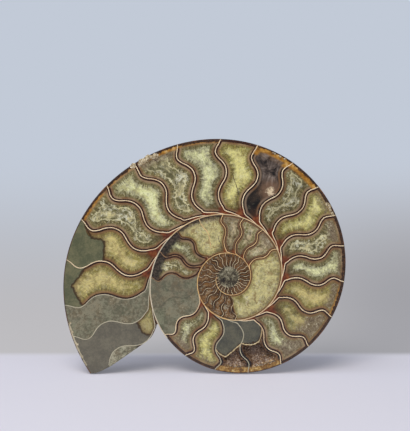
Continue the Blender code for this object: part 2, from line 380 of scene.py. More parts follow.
class Nodes:
    """A material's node tree while it is being wired. Sizes are real mm, on Object coordinates."""

    def __init__(self, name: str) -> None:
        """Starts a material with its shader and its Object coordinates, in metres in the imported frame."""
        self.material = bpy.data.materials.new(name)
        self.material.use_nodes = True
        self.tree = self.material.node_tree
        self.shader = self.tree.nodes["Principled BSDF"]
        self.place = self.add("TexCoord", output="Object")

    def put(self, socket: bpy.types.NodeSocket, value: Feed) -> None:
        """Links a signal to an input, or sets the input itself to a constant."""
        if isinstance(value, Signal):
            self.tree.links.new(value.socket, socket)
        else:
            socket.default_value = srgb(value) if isinstance(value, str) else value

    def add(self, kind: str, links: dict[int | str, Feed] | None = None, output: int | str = 0, **settings) -> Signal:
        """Adds a node.

        Args:
            kind: the node's type without its ShaderNode prefix.
            links: what goes into its inputs, by name or number.
            output: which output is wanted.
            settings: attributes of the node, such as its operation.

        Returns:
            The wanted output.
        """
        node = self.tree.nodes.new("ShaderNode" + kind)
        for key, value in settings.items():
            setattr(node, key, value)
        for key, value in (links or {}).items():
            self.put(node.inputs[key], value)
        return Signal(self, node.outputs[output])

    def maths(self, operation: str, *values: Signal | float) -> Signal:
        """Does a sum."""
        return self.add("Math", dict(enumerate(values)), operation=operation)

    def mix(self, share: Signal | float, first: Feed, second: Feed, blend: str = "MIX") -> Signal:
        """Lays a second colour over a first by a share from 0 to 1."""
        return self.add("Mix", {0: share, 6: first, 7: second}, 2, data_type="RGBA", blend_type=blend)

    def ramp(self, share: Signal, stops: Stops) -> Signal:
        """Colours a value from 0 to 1.

        Args:
            share: the value.
            stops: places and hex colours, with the places rising.

        Returns:
            The colour.
        """
        colour = self.add("ValToRGB", {"Fac": share})
        elements = colour.socket.node.color_ramp.elements
        while len(elements) < len(stops):
            elements.new(1.0)
        for element, (place, code) in zip(elements, stops):
            element.position = place
            element.color = srgb(code)
        return colour

    def noise(
        self, size_mm: float, detail: float = 3.0, rough: float = 0.55, swirl: float = 0.0, at: Signal | None = None,
    ) -> Signal:
        """Cloudy noise from 0 to 1.

        Args:
            size_mm: size of its largest features.
            detail: how many finer layers it has.
            rough: how strong they are.
            swirl: how far they are dragged round one another.
            at: where it is read; by default the Object coordinates.

        Returns:
            The noise.
        """
        links = {"Vector": at or self.place, "Scale": 1 / (size_mm * MM), "Detail": detail, "Roughness": rough}
        return self.add("TexNoise", {**links, "Distortion": swirl})

    def grains(self, size_mm: float) -> Signal:
        """Distance to the middle of the nearest grain, in sizes."""
        return self.add("TexVoronoi", {"Vector": self.place, "Scale": 1 / (size_mm * MM)}, "Distance")

    def attribute(self, name: str) -> Signal:
        """Reads a number stored on the mesh."""
        return self.add("Attribute", output="Fac", attribute_name=name)

    def point(self, x: Signal, y: Signal | float = 0.0) -> Signal:
        """Makes a place for a noise to be read at."""
        return self.add("CombineXYZ", {"X": x, "Y": y})

    def parts(self, vector: Signal) -> tuple[Signal, Signal]:
        """Splits a place to its x and y."""
        return tuple(self.add("SeparateXYZ", {"Vector": vector}, axis) for axis in range(2))

    def surface(self, colour: Feed, rough: Feed, ior: float = 1.5, others: dict[str, Feed] | None = None) -> None:
        """Feeds the shader.

        Args:
            colour: base colour.
            rough: roughness.
            ior: refractive index of the real material.
            others: what goes into other inputs, by name.
        """
        for key, value in {"Base Color": colour, "Roughness": rough, "IOR": ior, **(others or {})}.items():
            self.put(self.shader.inputs[key], value)

    def bump(self, height: Signal, strength: float, depth_mm: float) -> None:
        """Adds relief of a depth in mm to the shader's normal."""
        made = self.add("Bump", {"Height": height, "Strength": strength, "Distance": depth_mm * MM})
        self.put(self.shader.inputs["Normal"], made)


class Finish:
    """How a material looks after its surface was made; each kind wires its own nodes."""

    title: str

    def build(self, piece: str) -> bpy.types.Material:
        """Makes the material for a piece, named for the real material, its making and the piece."""
        nodes = Nodes(f"{self.title}_{piece}")
        self.wire(nodes)
        return nodes.material

    def wire(self, nodes: Nodes) -> None:
        """Wires the nodes."""
        raise NotImplementedError


class Fill(Enum):
    """What fills a chamber."""

    MILKY = "milky_calcite"              # bright cream
    LIME = "lime_calcite"                # bright yellow
    MOTTLED = "mottled_calcite"          # grey-green, full of fern-like growth
    HONEY = "honey_calcite"              # clear olive-yellow
    SMOKY = "smoky_agate"                # black and brown
    ROCK = "green_mudstone"
    GREY_ROCK = "grey_mudstone"
    DARK_ROCK = "blue_mudstone"
    BROWN = "brown_calcite"              # of the early whorls
    MAUVE = "mauve_calcite"
    CLEAR = "clear_calcite"              # yellow-green, of the long open chamber


@dataclass(frozen=True)
class Palette:
    """The colours of one kind of filling, from the shell inwards.

    Attributes:
        lining: the dark crystal skin right against the shell.
        halo: the tan band behind it.
        dusk: the dark of the speckled zone behind the halo.
        shade, tint: the dark and the light of the zone further in, and of mudstone.
        heart, glow: the two colours of the last crystals to grow, in the middle.
        heart_from: distance in mm from the shell at which the middle begins.
        speckle: how strongly the dark and the light of the zones part, from 0 to 1.
        web: strength of the pale fern-like threads and of the fringe of the middle, from 0 to 1.
        feather: mm by which crystal fibres draw the border of the middle in and out.
        glow_from: level of cloudiness from which the middle turns to its paler colour.
        stain, burnt: strength, from 0 to 1, and colour of the brown stains that cloud the crystal.
    """

    lining: str
    halo: str
    dusk: str
    shade: str
    tint: str
    heart: str
    glow: str
    heart_from: float
    speckle: float
    web: float
    feather: float
    glow_from: float
    stain: float
    burnt: str = "42331E"


PALETTES = {
    Fill.MILKY: Palette(
        "35180A", "9C8466", "766A48", "5E5A38", "A6A07A", "A2A26E", "EAECC8", 4.6, 0.85, 0.3, 5.0, 0.35, 0.3),
    Fill.LIME: Palette(
        "35180A", "9C8460", "7A6A42", "726C38", "B4AE68", "B6B262", "E4E0A6", 4.0, 0.7, 0.2, 5.0, 0.34, 0.4, "6A4E24"),
    Fill.MOTTLED: Palette(
        "35180A", "9C8466", "7A6E4A", "625C3A", "B2A87E", "706D4C", "DAD4AC",
        4.8, 0.95, 0.8, 2.5, 0.46, 0.45, "3F3820"),
    Fill.HONEY: Palette(
        "321A0E", "8E6E4A", "7E6A42", "7E7442", "B0A466", "A49A5A", "D8CE94", 3.6, 0.6, 0.15, 4.0, 0.42, 0.4, "5A4524"),
    Fill.SMOKY: Palette(
        "20120C", "86725E", "30251E", "080706", "2A211B", "0A0807", "3A2E26", 2.0, 0.15, 0.0, 1.0, 0.46, 0.0),
    Fill.BROWN: Palette(
        "140A06", "321C0E", "26160C", "160C06", "6A4420", "342010", "8A6236", 2.0, 0.95, 0.3, 3.0, 0.42, 0.7, "8A5E30"),
    Fill.MAUVE: Palette(
        "2C1A10", "7A5A42", "66503A", "504430", "968468", "786A4A", "CCC0A0", 2.6, 0.9, 0.4, 3.0, 0.46, 0.7, "46301F"),
    Fill.CLEAR: Palette(
        "4A2C16", "8A6C3C", "74663A", "665E34", "B4AC74", "958E54", "D6D09E", 1.6, 0.85, 0.3, 4.0, 0.42, 0.6, "6E4A22"),
}
# The dark and the light of the mudstones.
ROCKS = {
    Fill.ROCK: ("545840", "727052"),
    Fill.GREY_ROCK: ("5E5A4E", "75705F"),
    Fill.DARK_ROCK: ("47473E", "62604F"),
}


@dataclass(frozen=True)
class FillFinish(Finish):
    """Sawn and polished mineral, whose bands follow the shell that it grew from.

    The eye gets a dark line and a tan halo along the shell, a speckled or fibrous zone behind them and a pale
    heart, under a hard wet-looking gloss. Below, edge is the distance in mm from the shell, on the scale of the
    whorl, and warp is a small cloudy wobble about 0 that keeps every border natural.

    Attributes:
        fill: the kind of filling.
        size: scale of the bands along the shell, 1 on the last turn and less on the small whorls.
        rust: how far in mm the iron stain reaches out of the corner by the inner wall, 0 for none.
        grain: scale of the pattern between the bands.
        amber: width in mm of the amber layer under the rim, 0 for none.
        shell: width in mm of the dark shell at the rim.
        soot: how far in mm a smoky black reaches in from the outer wall, 0 for none.
        dust: how far in mm a mauve-brown speckled crystal reaches in from the rim, 0 for none.
        rock: the kind of mudstone beyond the rock line, if the chamber has one.
        heart: another colour for the middle, if this chamber's stands out.
        druse: whether an open hollow lined with brown crystals shows.
        star: running angle in degrees and radius in mm of a small cream crystal in smoke.
        dim: how much browner and darker the crystal is than its kind, from 0 to 1.
    """

    fill: Fill
    size: float = 1.0
    rust: float = 7.4
    grain: float = 1.0
    amber: float = 0.0
    shell: float = 0.9
    soot: float = 0.0
    dust: float = 0.0
    rock: Fill | None = None
    heart: str | None = None
    druse: bool = False
    star: Polar | None = None
    dim: float = 0.0

    @property
    def title(self) -> str:
        """The real material and how its surface was made."""
        return self.fill.value + "_polished"

    def wire(self, nodes: Nodes) -> None:
        """Wires the crystal, then each thing that lies over it in this chamber, and the polish."""
        warp = nodes.noise(1.7, 4.0) - 0.5
        edge = nodes.attribute("edge_mm") / self.size
        rim = nodes.attribute("rim_mm")
        colour = nodes.mix(self.dim, self.crystal(nodes, warp, edge), "33291A")
        if self.rust > 0:
            colour = self.with_rust(nodes, warp, edge, colour)
        if self.dust > 0:
            colour = self.with_dust(nodes, warp, edge, colour)
        if self.amber > 0:
            colour = self.with_amber(nodes, warp, colour)
        if self.star is not None:
            colour = self.with_smoke(nodes, warp, colour)
        if self.soot > 0:
            black = nodes.ramp(nodes.noise(1.2, 5.0), ((0.38, "0F0C0A"), (0.66, "4A4038")))
            colour = nodes.mix((warp * 5.0 + rim).ease(self.soot + 1.2, self.soot - 1.4) * 0.94, colour, black)
        if self.rock is not None:
            colour = self.with_rock(nodes, warp, colour)
        if self.shell > 0:
            skin = nodes.ramp(nodes.noise(1.3, 2.0), ((0.3, "231610"), (0.6, "46301F"), (0.8, "7A5332")))
            colour = nodes.mix((warp * 2.2 + rim).ease(self.shell + 0.2, self.shell - 0.3), colour, skin)
        if self.druse:
            colour = self.with_druse(nodes, warp, colour)
            nodes.bump(nodes.grains(0.8), 0.6, 0.4)
        else:
            nodes.bump(nodes.noise(0.9), 0.12, 0.05)
        nodes.surface(colour, nodes.noise(3.0, 2.0).between(0.17, 0.3), 1.56)

    def crystal(self, nodes: Nodes, warp: Signal, edge: Signal) -> Signal:
        """Wires the bands of crystal.

        Args:
            nodes: the material.
            warp: the wobble.
            edge: the distance from the shell.

        Returns:
            Their colour.
        """
        palette = PALETTES[self.fill]
        # Fibres stand square to the shell: noise along it, drawn out long away from it.
        away = nodes.attribute("edge_mm") * (0.16 * MM)
        fibre = nodes.noise(0.8 * self.size, 4.0, 0.68, at=nodes.point(nodes.attribute("along_mm") * MM, away))
        # Near the shell the borders are smooth; further in, clouds and fibres make them ragged.
        drift = nodes.noise(9.0 * self.size, 2.0) - 0.5
        loose = edge.ease(1.6, 4.4)
        ragged = loose * (warp * 3.4 + drift * 6.5 + (fibre - 0.5) * palette.feather) + edge
        # The zone: fern-like growth that parts dark from light.
        ferns = nodes.noise(1.5 * self.grain, 10.0, 0.78, 1.2) + (0.42 - nodes.grains(0.8 * self.grain)) * 0.2
        spread = 0.28 - 0.16 * palette.speckle
        part = ferns.ease(0.53 - spread, 0.53 + spread)
        near = nodes.mix(part, palette.dusk, palette.tint)
        far = nodes.mix(part, palette.shade, palette.tint)
        zone = nodes.mix(ragged.ease(2.4, 4.2), near, far)
        # The heart: cloudy, palest furthest in, with dark veins.
        start = palette.heart_from
        clouds = edge.ease(start, start + 4.5) * 0.16 + nodes.noise(4.0 * self.grain, 5.0, 0.62)
        glow = clouds.ease(palette.glow_from, palette.glow_from + 0.26)
        heart = nodes.mix(glow, self.heart or palette.heart, palette.glow)
        heart = nodes.mix(ferns.ease(0.52, 0.34) * (0.42 * palette.speckle), heart, palette.shade)
        colour = nodes.mix(ragged.ease(start - 1.6, start + 2.2), zone, heart)
        # Growth rings that follow the shell.
        rings = nodes.noise(0.7, 2.0, 0.6, at=nodes.point((warp * 0.6 + edge) * MM))
        rings = nodes.ramp(rings, ((0.36, "4A4632"), (0.64, "B8B49A")))
        colour = nodes.mix(0.45, colour, rings, "OVERLAY")
        # A web of pale threads, the pale fringe of the heart, and flecks.
        thread = abs(nodes.noise(6.5 * self.grain, 8.0, 0.66, 0.8) - 0.5).ease(0.045, 0.008)
        web = thread * ragged.ease(2.4, 3.6) * nodes.noise(5.0).ease(0.44, 0.58)
        colour = nodes.mix(web * palette.web, colour, "E0E0C8")
        fringe = abs(ragged - (start + 0.4)).ease(0.7, 0.1)
        colour = nodes.mix(fringe * palette.web, colour, palette.glow)
        flecks = nodes.noise(0.9 * self.grain, 4.0, 0.6, 1.0).ease(0.58, 0.67)
        colour = nodes.mix(flecks * ragged.ease(2.0, 3.6) * (0.5 * palette.speckle), colour, "E4E0C4")
        # Brown stains, then the light and dark of the fibres, strongest near the shell.
        stain = nodes.noise(6.0 * self.size, 6.0, 0.68, 0.8).ease(0.5, 0.64) * edge.ease(1.8, 3.0)
        colour = nodes.mix(stain * palette.stain, colour, palette.burnt)
        fibres = nodes.ramp(fibre, ((0.34, "221E16"), (0.66, "F0ECD0")))
        colour = nodes.mix(edge.ease(9.0, 1.6) * 0.78, colour, nodes.mix(0.7, colour, fibres, "OVERLAY"))
        # The halo and the lining, right against the shell.
        halo = nodes.mix(nodes.noise(7.0).ease(0.42, 0.6), palette.halo, "7C5A3C")
        colour = nodes.mix(edge.ease(2.7, 1.7) * 0.85, colour, halo)
        return nodes.mix(edge.ease(1.4, 0.9), colour, palette.lining)

    def with_rust(self, nodes: Nodes, warp: Signal, edge: Signal, colour: Signal) -> Signal:
        """Stains the corner by the inner wall iron-red, with scorched brown crystal around it."""
        corner = warp * 3.0 + nodes.attribute("corner_mm")
        scorch = corner.ease(self.rust + 6.0, self.rust - 0.5) * edge.ease(1.2, 2.2)
        rust = nodes.ramp(nodes.noise(2.2, 4.0), ((0.3, "3C160A"), (0.5, "6C2E14"), (0.72, "8E5226")))
        colour = nodes.mix(scorch * 0.72, colour, "40260F")
        return nodes.mix(corner.ease(self.rust + 0.8, self.rust - 1.6) * 0.9, colour, rust)

    def with_dust(self, nodes: Nodes, warp: Signal, edge: Signal, colour: Signal) -> Signal:
        """Speckles the zone near the rim mauve-brown and cream."""
        near_rim = (warp * 9.0 + nodes.attribute("rim_mm")).ease(self.dust + 2.5, self.dust - 2.5)
        stops = ((0.36, "3E3026"), (0.48, "74624E"), (0.58, "978A70"), (0.68, "DCD6C0"))
        dusty = nodes.ramp(nodes.noise(1.6, 8.0, 0.75, 1.0), stops)
        return nodes.mix(near_rim * edge.ease(1.8, 3.2) * 0.85, colour, dusty)

    def with_amber(self, nodes: Nodes, warp: Signal, colour: Signal) -> Signal:
        """Lays patches of amber-coloured shell under the rim."""
        layer = (warp * 1.6 + nodes.attribute("rim_mm")).ease(self.amber + 0.8, self.amber - 0.8)
        stops = ((0.3, "4E2C10"), (0.46, "98681F"), (0.58, "B88838"), (0.72, "D6B47A"))
        patchy = nodes.noise(9.0).ease(0.32, 0.46)
        return nodes.mix(layer * patchy, colour, nodes.ramp(nodes.noise(3.4, 4.0), stops))

    def with_smoke(self, nodes: Nodes, warp: Signal, colour: Signal) -> Signal:
        """Veils the chamber's outer half with grey-brown smoke, and sets the small cream star in a brown cloud."""
        edge = nodes.attribute("edge_mm")
        stops = ((0.36, "16110F"), (0.46, "473C35"), (0.56, "6E6158"), (0.68, "9A8E84"))
        smoke = nodes.ramp(nodes.noise(10.0, 4.0, 0.6, 1.6), stops)
        veil = (warp * 9.0 + nodes.attribute("rim_mm")).ease(23.0, 13.0) * edge.ease(1.8, 3.4)
        colour = nodes.mix(veil * 0.9, colour, smoke)
        spot = nodes.add("VectorMath", {0: nodes.place, 1: on_face(*self.star)}, "Value", operation="DISTANCE")
        away = warp * 5.0 + spot / MM
        colour = nodes.mix(away.ease(9.0, 3.0) * edge.ease(1.2, 2.4) * 0.75, colour, "7A5E48")
        rays = (nodes.noise(0.9, 4.0, 0.7) - 0.5) * 6.0 + away
        return nodes.mix(rays.ease(2.8, 0.8), colour, "DCC8A6")

    def with_rock(self, nodes: Nodes, warp: Signal, colour: Signal) -> Signal:
        """Lays mudstone beyond the rock line, with a dark seam and browned crystal before it."""
        line = warp * 2.2 + nodes.attribute("rock_mm")
        mottle = nodes.noise(1.1, 8.0, 0.8) * 0.5 + nodes.noise(7.0, 5.0, 0.65) * 0.5
        rock = nodes.mix(mottle.ease(0.4, 0.6), *ROCKS[self.rock])
        colour = nodes.mix(line.ease(-3.6, -0.4) * 0.55, colour, "63431F")
        colour = nodes.mix(line.ease(-0.1, 0.25), colour, rock)
        return nodes.mix(abs(line).ease(1.0, 0.2) * 0.88, colour, "35230F")

    def with_druse(self, nodes: Nodes, warp: Signal, colour: Signal) -> Signal:
        """Lines the hollow with brown crystals, golden along the rim."""
        gold_stops = ((0.34, "3C2614"), (0.48, "7E5A2C"), (0.58, "B08A4A"), (0.7, "DCC892"))
        gold = nodes.ramp(nodes.noise(2.4, 5.0, 0.7), gold_stops)
        crystals = nodes.ramp(nodes.noise(1.1, 4.0, 0.7), ((0.3, "3A271A"), (0.5, "6E5440"), (0.72, "A88E72")))
        near_gold = warp * 3.0 + nodes.attribute("rim_mm")
        colour = nodes.mix(near_gold.ease(3.4, 1.8), colour, gold)
        inside = nodes.mix(near_gold.ease(4.6, 2.6), crystals, gold)
        return nodes.mix(nodes.attribute("hollow_mm").ease(0.1, 0.7), colour, inside)


@dataclass(frozen=True)
class RockFinish(Finish):
    """Sawn mudstone: an even, dull, fine-grained grey with pale shell grit, and a lower polish than crystal."""

    shade: str = "66645A"
    tint: str = "77746A"
    grit: str = "B0A894"
    title = "mudstone_sawn"

    def wire(self, nodes: Nodes) -> None:
        """Wires grain, a green to brown tinge, dark pits, pale crumbs and a darker skin by the shell."""
        grain = nodes.noise(2.0, 9.0, 0.85)
        mixed = grain * 0.6 + nodes.noise(8.0, 6.0, 0.7) * 0.4
        colour = nodes.mix(mixed.ease(0.44, 0.56), self.shade, self.tint)
        tinge = nodes.ramp(nodes.noise(7.0, 6.0, 0.7), ((0.38, "5E6A52"), (0.5, "74705E"), (0.64, "8A7456")))
        colour = nodes.mix(0.3, colour, tinge)
        colour = nodes.mix(nodes.noise(0.9, 2.0).ease(0.4, 0.3) * 0.55, colour, "3A382E")
        crumbs = nodes.grains(1.9).ease(0.26, 0.12) * nodes.noise(7.0).ease(0.55, 0.66)
        colour = nodes.mix(crumbs * 0.6, colour, self.grit)
        colour = nodes.mix(nodes.attribute("edge_mm").ease(0.7, 0.1) * 0.35, colour, "3E392E")
        nodes.surface(colour, 0.42, 1.52)
        nodes.bump(grain, 0.2, 0.08)


@dataclass(frozen=True)
class ShellFinish(Finish):
    """Sawn mother-of-pearl turned to calcite: a pale, slightly pink line with warm stains along it.

    Attributes:
        pale: the shell's colour.
        warm: the stains' colour.
        rough: roughness of the cut.
        stains_mm: length of the stains.
        stained: how strong they are, from 0 to 1.
    """

    pale: str = "F3DFB8"
    warm: str = "C0966A"
    rough: float = 0.28
    stains_mm: float = 9.0
    stained: float = 0.5
    title = "nacre_sawn"

    def wire(self, nodes: Nodes) -> None:
        """Wires the stains and fine brown flecks."""
        stain = nodes.noise(self.stains_mm, 4.0).ease(0.42, 0.68) * self.stained
        colour = nodes.mix(stain, self.pale, self.warm)
        colour = nodes.mix(nodes.noise(1.2, 4.0).ease(0.6, 0.75) * 0.35, colour, "8E6240")
        nodes.surface(colour, self.rough, 1.55)


@dataclass(frozen=True)
class StoneFinish(Finish):
    """A mineral whose colour and relief both follow one cloudy grain.

    Attributes:
        title: the real material and how its surface was made.
        stops: the colours of the grain.
        grain: size in mm, detail, roughness and swirl of the grain.
        rough: roughness.
        relief: strength and depth in mm of the relief.
        lumps_mm: size of lumps that the relief has besides, 0 for none.
        ior: refractive index.
    """

    title: str
    stops: Stops
    grain: tuple[float, ...]
    rough: float
    relief: tuple[float, float]
    lumps_mm: float = 0.0
    ior: float = 1.5

    def wire(self, nodes: Nodes) -> None:
        """Wires the grain's colours and relief."""
        grain = nodes.noise(*self.grain)
        nodes.surface(nodes.ramp(grain, self.stops), self.rough, self.ior)
        nodes.bump(grain + nodes.noise(self.lumps_mm, 4.0) if self.lumps_mm else grain, *self.relief)


# Crumbled shell: chalky cream-white flakes with brown grime between them, quite matt.
CRUMBLED_SHELL = StoneFinish(
    "shell_crumbled", ((0.34, "4A3826"), (0.46, "9C8A68"), (0.56, "D2C5A4"), (0.7, "F2ECDC")),
    (1.1, 6.0, 0.75), 0.7, (0.8, 0.5),
)
# A fresh break through mudstone: rough, crumbly and matt, with beige crumbs of shell.
BROKEN_ROCK = StoneFinish(
    "mudstone_broken", ((0.32, "45423A"), (0.5, "6E6A5C"), (0.66, "8E8872"), (0.8, "BDB49A")),
    (2.6, 9.0, 0.75), 0.85, (0.9, 1.2), lumps_mm=7.0,
)


@dataclass(frozen=True)
class CoreFinish(Finish):
    """The polished first chamber: pale green-grey crystal crumbs in black-brown, flecked like salt and pepper."""

    title = "crystal_crumbs_polished"

    def wire(self, nodes: Nodes) -> None:
        """Wires crumbs and lumps."""
        mixed = nodes.noise(2.0, 7.0, 0.78, 0.8) * 0.65 + nodes.noise(5.0) * 0.35
        stops = ((0.38, "120D08"), (0.46, "40382A"), (0.53, "827C64"), (0.63, "C6C2AA"))
        nodes.surface(nodes.ramp(mixed, stops), 0.26, 1.55)


@dataclass(frozen=True)
class RimFinish(Finish):
    """The shell's own edge, sawn and polished: a near-black brown line that frames the face."""

    title = "shell_sawn_and_polished"

    def wire(self, nodes: Nodes) -> None:
        """Wires dark stains, amber where they are thin, under fine saw marks."""
        stops = ((0.34, "1E120C"), (0.5, "3A2416"), (0.6, "6A3F1C"), (0.74, "A98552"))
        nodes.surface(nodes.ramp(nodes.noise(6.0, 5.0, 0.65), stops), 0.3, 1.55)
        nodes.bump(nodes.noise(0.7, 4.0), 0.2, 0.08)


@dataclass(frozen=True)
class BackFinish(Finish):
    """The natural outside of the shell, brushed clean: satin brown and cream growth bands that follow the ribs.

    Attributes:
        ribs: ribs in a turn.
        sweep: degrees by which they bend forward on the flank.
        low, high: shares of the whorl's radius between which they run.
    """

    ribs: float
    sweep: float
    low: float
    high: float
    title = "shell_brushed"

    def wire(self, nodes: Nodes) -> None:
        """Wires patches, painted shade between the ribs, growth lines, a green tinge and dirt."""
        turns, share = nodes.parts(nodes.add("UVMap", uv_map="coil"))
        bend = nodes.maths("SINE", (share - self.low) * (math.pi / (self.high - self.low)))
        along = bend * (self.sweep / FULL_TURN) + turns
        bands = (nodes.noise(9.0, 4.0) - 0.5) * 0.016 + along
        growth = nodes.noise(0.9, 4.0, 0.6, at=nodes.point(bands * 0.24, share * 0.004))
        patches = nodes.noise(16.0, 5.0, 0.62)
        colour = nodes.ramp(patches, ((0.32, "5A4330"), (0.46, "86694A"), (0.6, "B09A76"), (0.74, "D2C4A4")))
        # Painted shade: a darker band down one flank of each rib into the groove, where the ribs would shade.
        painted_rib_shade = share.ease(0.36, 0.5) * nodes.maths("SINE", along * (self.ribs * 2 * math.pi)).ease(0.1, 0.95)
        colour = nodes.mix(painted_rib_shade * 0.45, colour, "3E2C1E")
        colour = nodes.mix(0.55, colour, nodes.ramp(growth, ((0.3, "3A2A1E"), (0.7, "E2D2B0"))), "OVERLAY")
        colour = nodes.mix(nodes.noise(24.0).ease(0.5, 0.66) * 0.35, colour, "6C6A4E")
        colour = nodes.mix(nodes.noise(1.4, 6.0, 0.7).ease(0.58, 0.7) * 0.5, colour, "33261B")
        nodes.surface(colour, patches.between(0.38, 0.62), 1.55)
        nodes.bump(growth + nodes.noise(0.8, 5.0), 0.35, 0.18)


@dataclass(frozen=True)
class PowderCoat(Finish):
    """Steel sprayed with black powder and baked: satin, with a fine orange-peel that breaks up its highlights."""

    colour: str = "1B1B1D"
    title = "steel_powder_coated"

    def wire(self, nodes: Nodes) -> None:
        """Wires the peel and a little dust."""
        peel = nodes.noise(0.7, 2.0)
        dust = nodes.noise(3.0, 6.0, 0.7).ease(0.56, 0.72)
        nodes.surface(nodes.mix(dust * 0.22, self.colour, "55524E"), peel.between(0.38, 0.52))
        nodes.bump(peel, 0.25, 0.06)


@dataclass(frozen=True)
class Felt(Finish):
    """Pressed wool felt: matt, fibrous and slightly uneven, with a soft bright fuzz at grazing angles."""

    colour: str = "2E3531"
    title = "wool_felt_pressed"

    def wire(self, nodes: Nodes) -> None:
        """Wires the fibres and the fuzz."""
        fibres = nodes.noise(0.5, 6.0, 0.75, 2.5)
        colour = nodes.mix(fibres.ease(0.35, 0.68), self.colour, "5D665F")
        nodes.surface(colour, 0.95, others={"Sheen Weight": 0.6})
        nodes.bump(fibres, 0.7, 0.25)


@dataclass(frozen=True)
class PaperFinish(Finish):
    """Matt backdrop paper, pale before the object, that runs back as the photograph's grey wall.

    Before the object it glows a little by itself, so that the shadows on it stay as light as soft daylight leaves them;
    further back the wall's light is painted by its own glow, with painted shade on its right.

    Attributes:
        front: its colour before the object.
        front_glow: colour and strength of its glow there.
        far: its colour at the horizon, the same as the sky's.
    """

    front: str = "C4C4D0"
    front_glow: tuple[str, float] = ("DEDEEA", 0.2)
    far: str = "C2CAD7"
    title = "paper_matt_painted_glow"

    def wire(self, nodes: Nodes) -> None:
        """Wires the front, the wall's grey, its painted shade on the right, the real shade it takes low down, and the
        glow that paints its light.
        """
        x, y = nodes.parts(nodes.place)
        back = y.ease(0.010, 0.026)
        height = 1.0 / (y + 0.6)                     # falls from the foot of the wall to 0 at the horizon
        grey = nodes.mix(height.ease(1.4, 0.25), "BDBCBF", self.far)
        # Painted shade: the wall's grey darkens towards the right and low down, where the object's shadow falls.
        painted_wall_shade = (x * height).ease(0.02, 0.2) * height.ease(0.3, 1.3)
        grey = nodes.mix(painted_wall_shade, grey, "A5A5AA")
        # The wall's light is painted by glow; low down, part of the glow gives way to diffuse paper, which takes real
        # shadows.
        shaded = height.ease(0.4, 1.5) * 0.45
        glow_colour, glow = self.front_glow
        nodes.surface(nodes.mix(back, self.front, nodes.mix(shaded, "000000", grey)), 0.8, others={
            "Emission Color": nodes.mix(back, glow_colour, grey),
            "Emission Strength": back * (1.0 - shaded * 0.85 - glow) + glow,
            "Specular IOR Level": back * -0.5 + 0.5,
        })


def linked(name: str, mesh: bmesh.types.BMesh) -> bpy.types.Object:
    """Makes an object of a bmesh, which is freed, and links it to the scene."""
    data = bpy.data.meshes.new(name)
    mesh.to_mesh(data)
    mesh.free()
    made = bpy.data.objects.new(name, data)
    bpy.context.scene.collection.objects.link(made)
    return made


def new_piece(
    name: str, mesh: bmesh.types.BMesh, materials: Sequence[bpy.types.Material], replaces: Sequence[str] = (),
) -> bpy.types.Object:
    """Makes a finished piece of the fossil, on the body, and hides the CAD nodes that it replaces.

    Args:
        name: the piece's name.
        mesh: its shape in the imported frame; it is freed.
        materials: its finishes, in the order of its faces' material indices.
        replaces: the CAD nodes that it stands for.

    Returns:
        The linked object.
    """
    piece = linked(name, mesh)
    for material in materials:
        piece.data.materials.append(material)
    piece.data.shade_smooth()
    piece.data.set_sharp_from_angle(angle=SHARP_EDGE)
    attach(piece, BODY)
    if replaces:
        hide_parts(*replaces)
    log.info("%s: %d faces", name, len(piece.data.polygons))
    return piece


def add_grid(mesh: bmesh.types.BMesh, across: int, outward: int) -> list[tuple[bmesh.types.BMVert, float, float]]:
    """Adds a flat grid that waits to be bent: its vertices, each with its two shares from 0 to 1."""
    made = bmesh.ops.create_grid(mesh, x_segments=across, y_segments=outward, size=1.0)
    return [(vertex, (vertex.co.x + 1) / 2, (vertex.co.y + 1) / 2) for vertex in made["verts"]]


def faces_of(grid: Iterable[tuple[bmesh.types.BMVert, float, float]]) -> list[bmesh.types.BMFace]:
    """The faces of a grid, each once."""
    return list(dict.fromkeys(face for vertex, _, _ in grid for face in vertex.link_faces))


def thicken(mesh: bmesh.types.BMesh, faces: Sequence[bmesh.types.BMFace], depth_mm: float) -> None:
    """Extrudes faces into the stone by a depth in mm."""
    grown = bmesh.ops.extrude_face_region(mesh, geom=faces)
    moved = [g for g in grown["geom"] if isinstance(g, bmesh.types.BMVert)]
    bmesh.ops.translate(mesh, vec=INWARD * (depth_mm * MM), verts=moved)


def search_tree(points: Sequence[Vector]) -> KDTree:
    """Builds a search tree over a line of points."""
    tree = KDTree(len(points))
    for i, point in enumerate(points):
        tree.insert(point, i)
    tree.balance()
    return tree


def to_segment(point: Vector, a: Vector, b: Vector) -> float:
    """Distance from a point to a straight stretch."""
    along = b - a
    t = min(max((point - a).dot(along) / along.length_squared, 0.0), 1.0)
    return (point - a - along * t).length


# What a filling's mesh stores at its vertices, in mm: distance to the shell, length along it, distance to the
# outer wall and to the corner that rusts, signed distance from the rock line, and depth of the hollow.
LAYERS = ("edge_mm", "along_mm", "rim_mm", "corner_mm", "rock_mm", "hollow_mm")


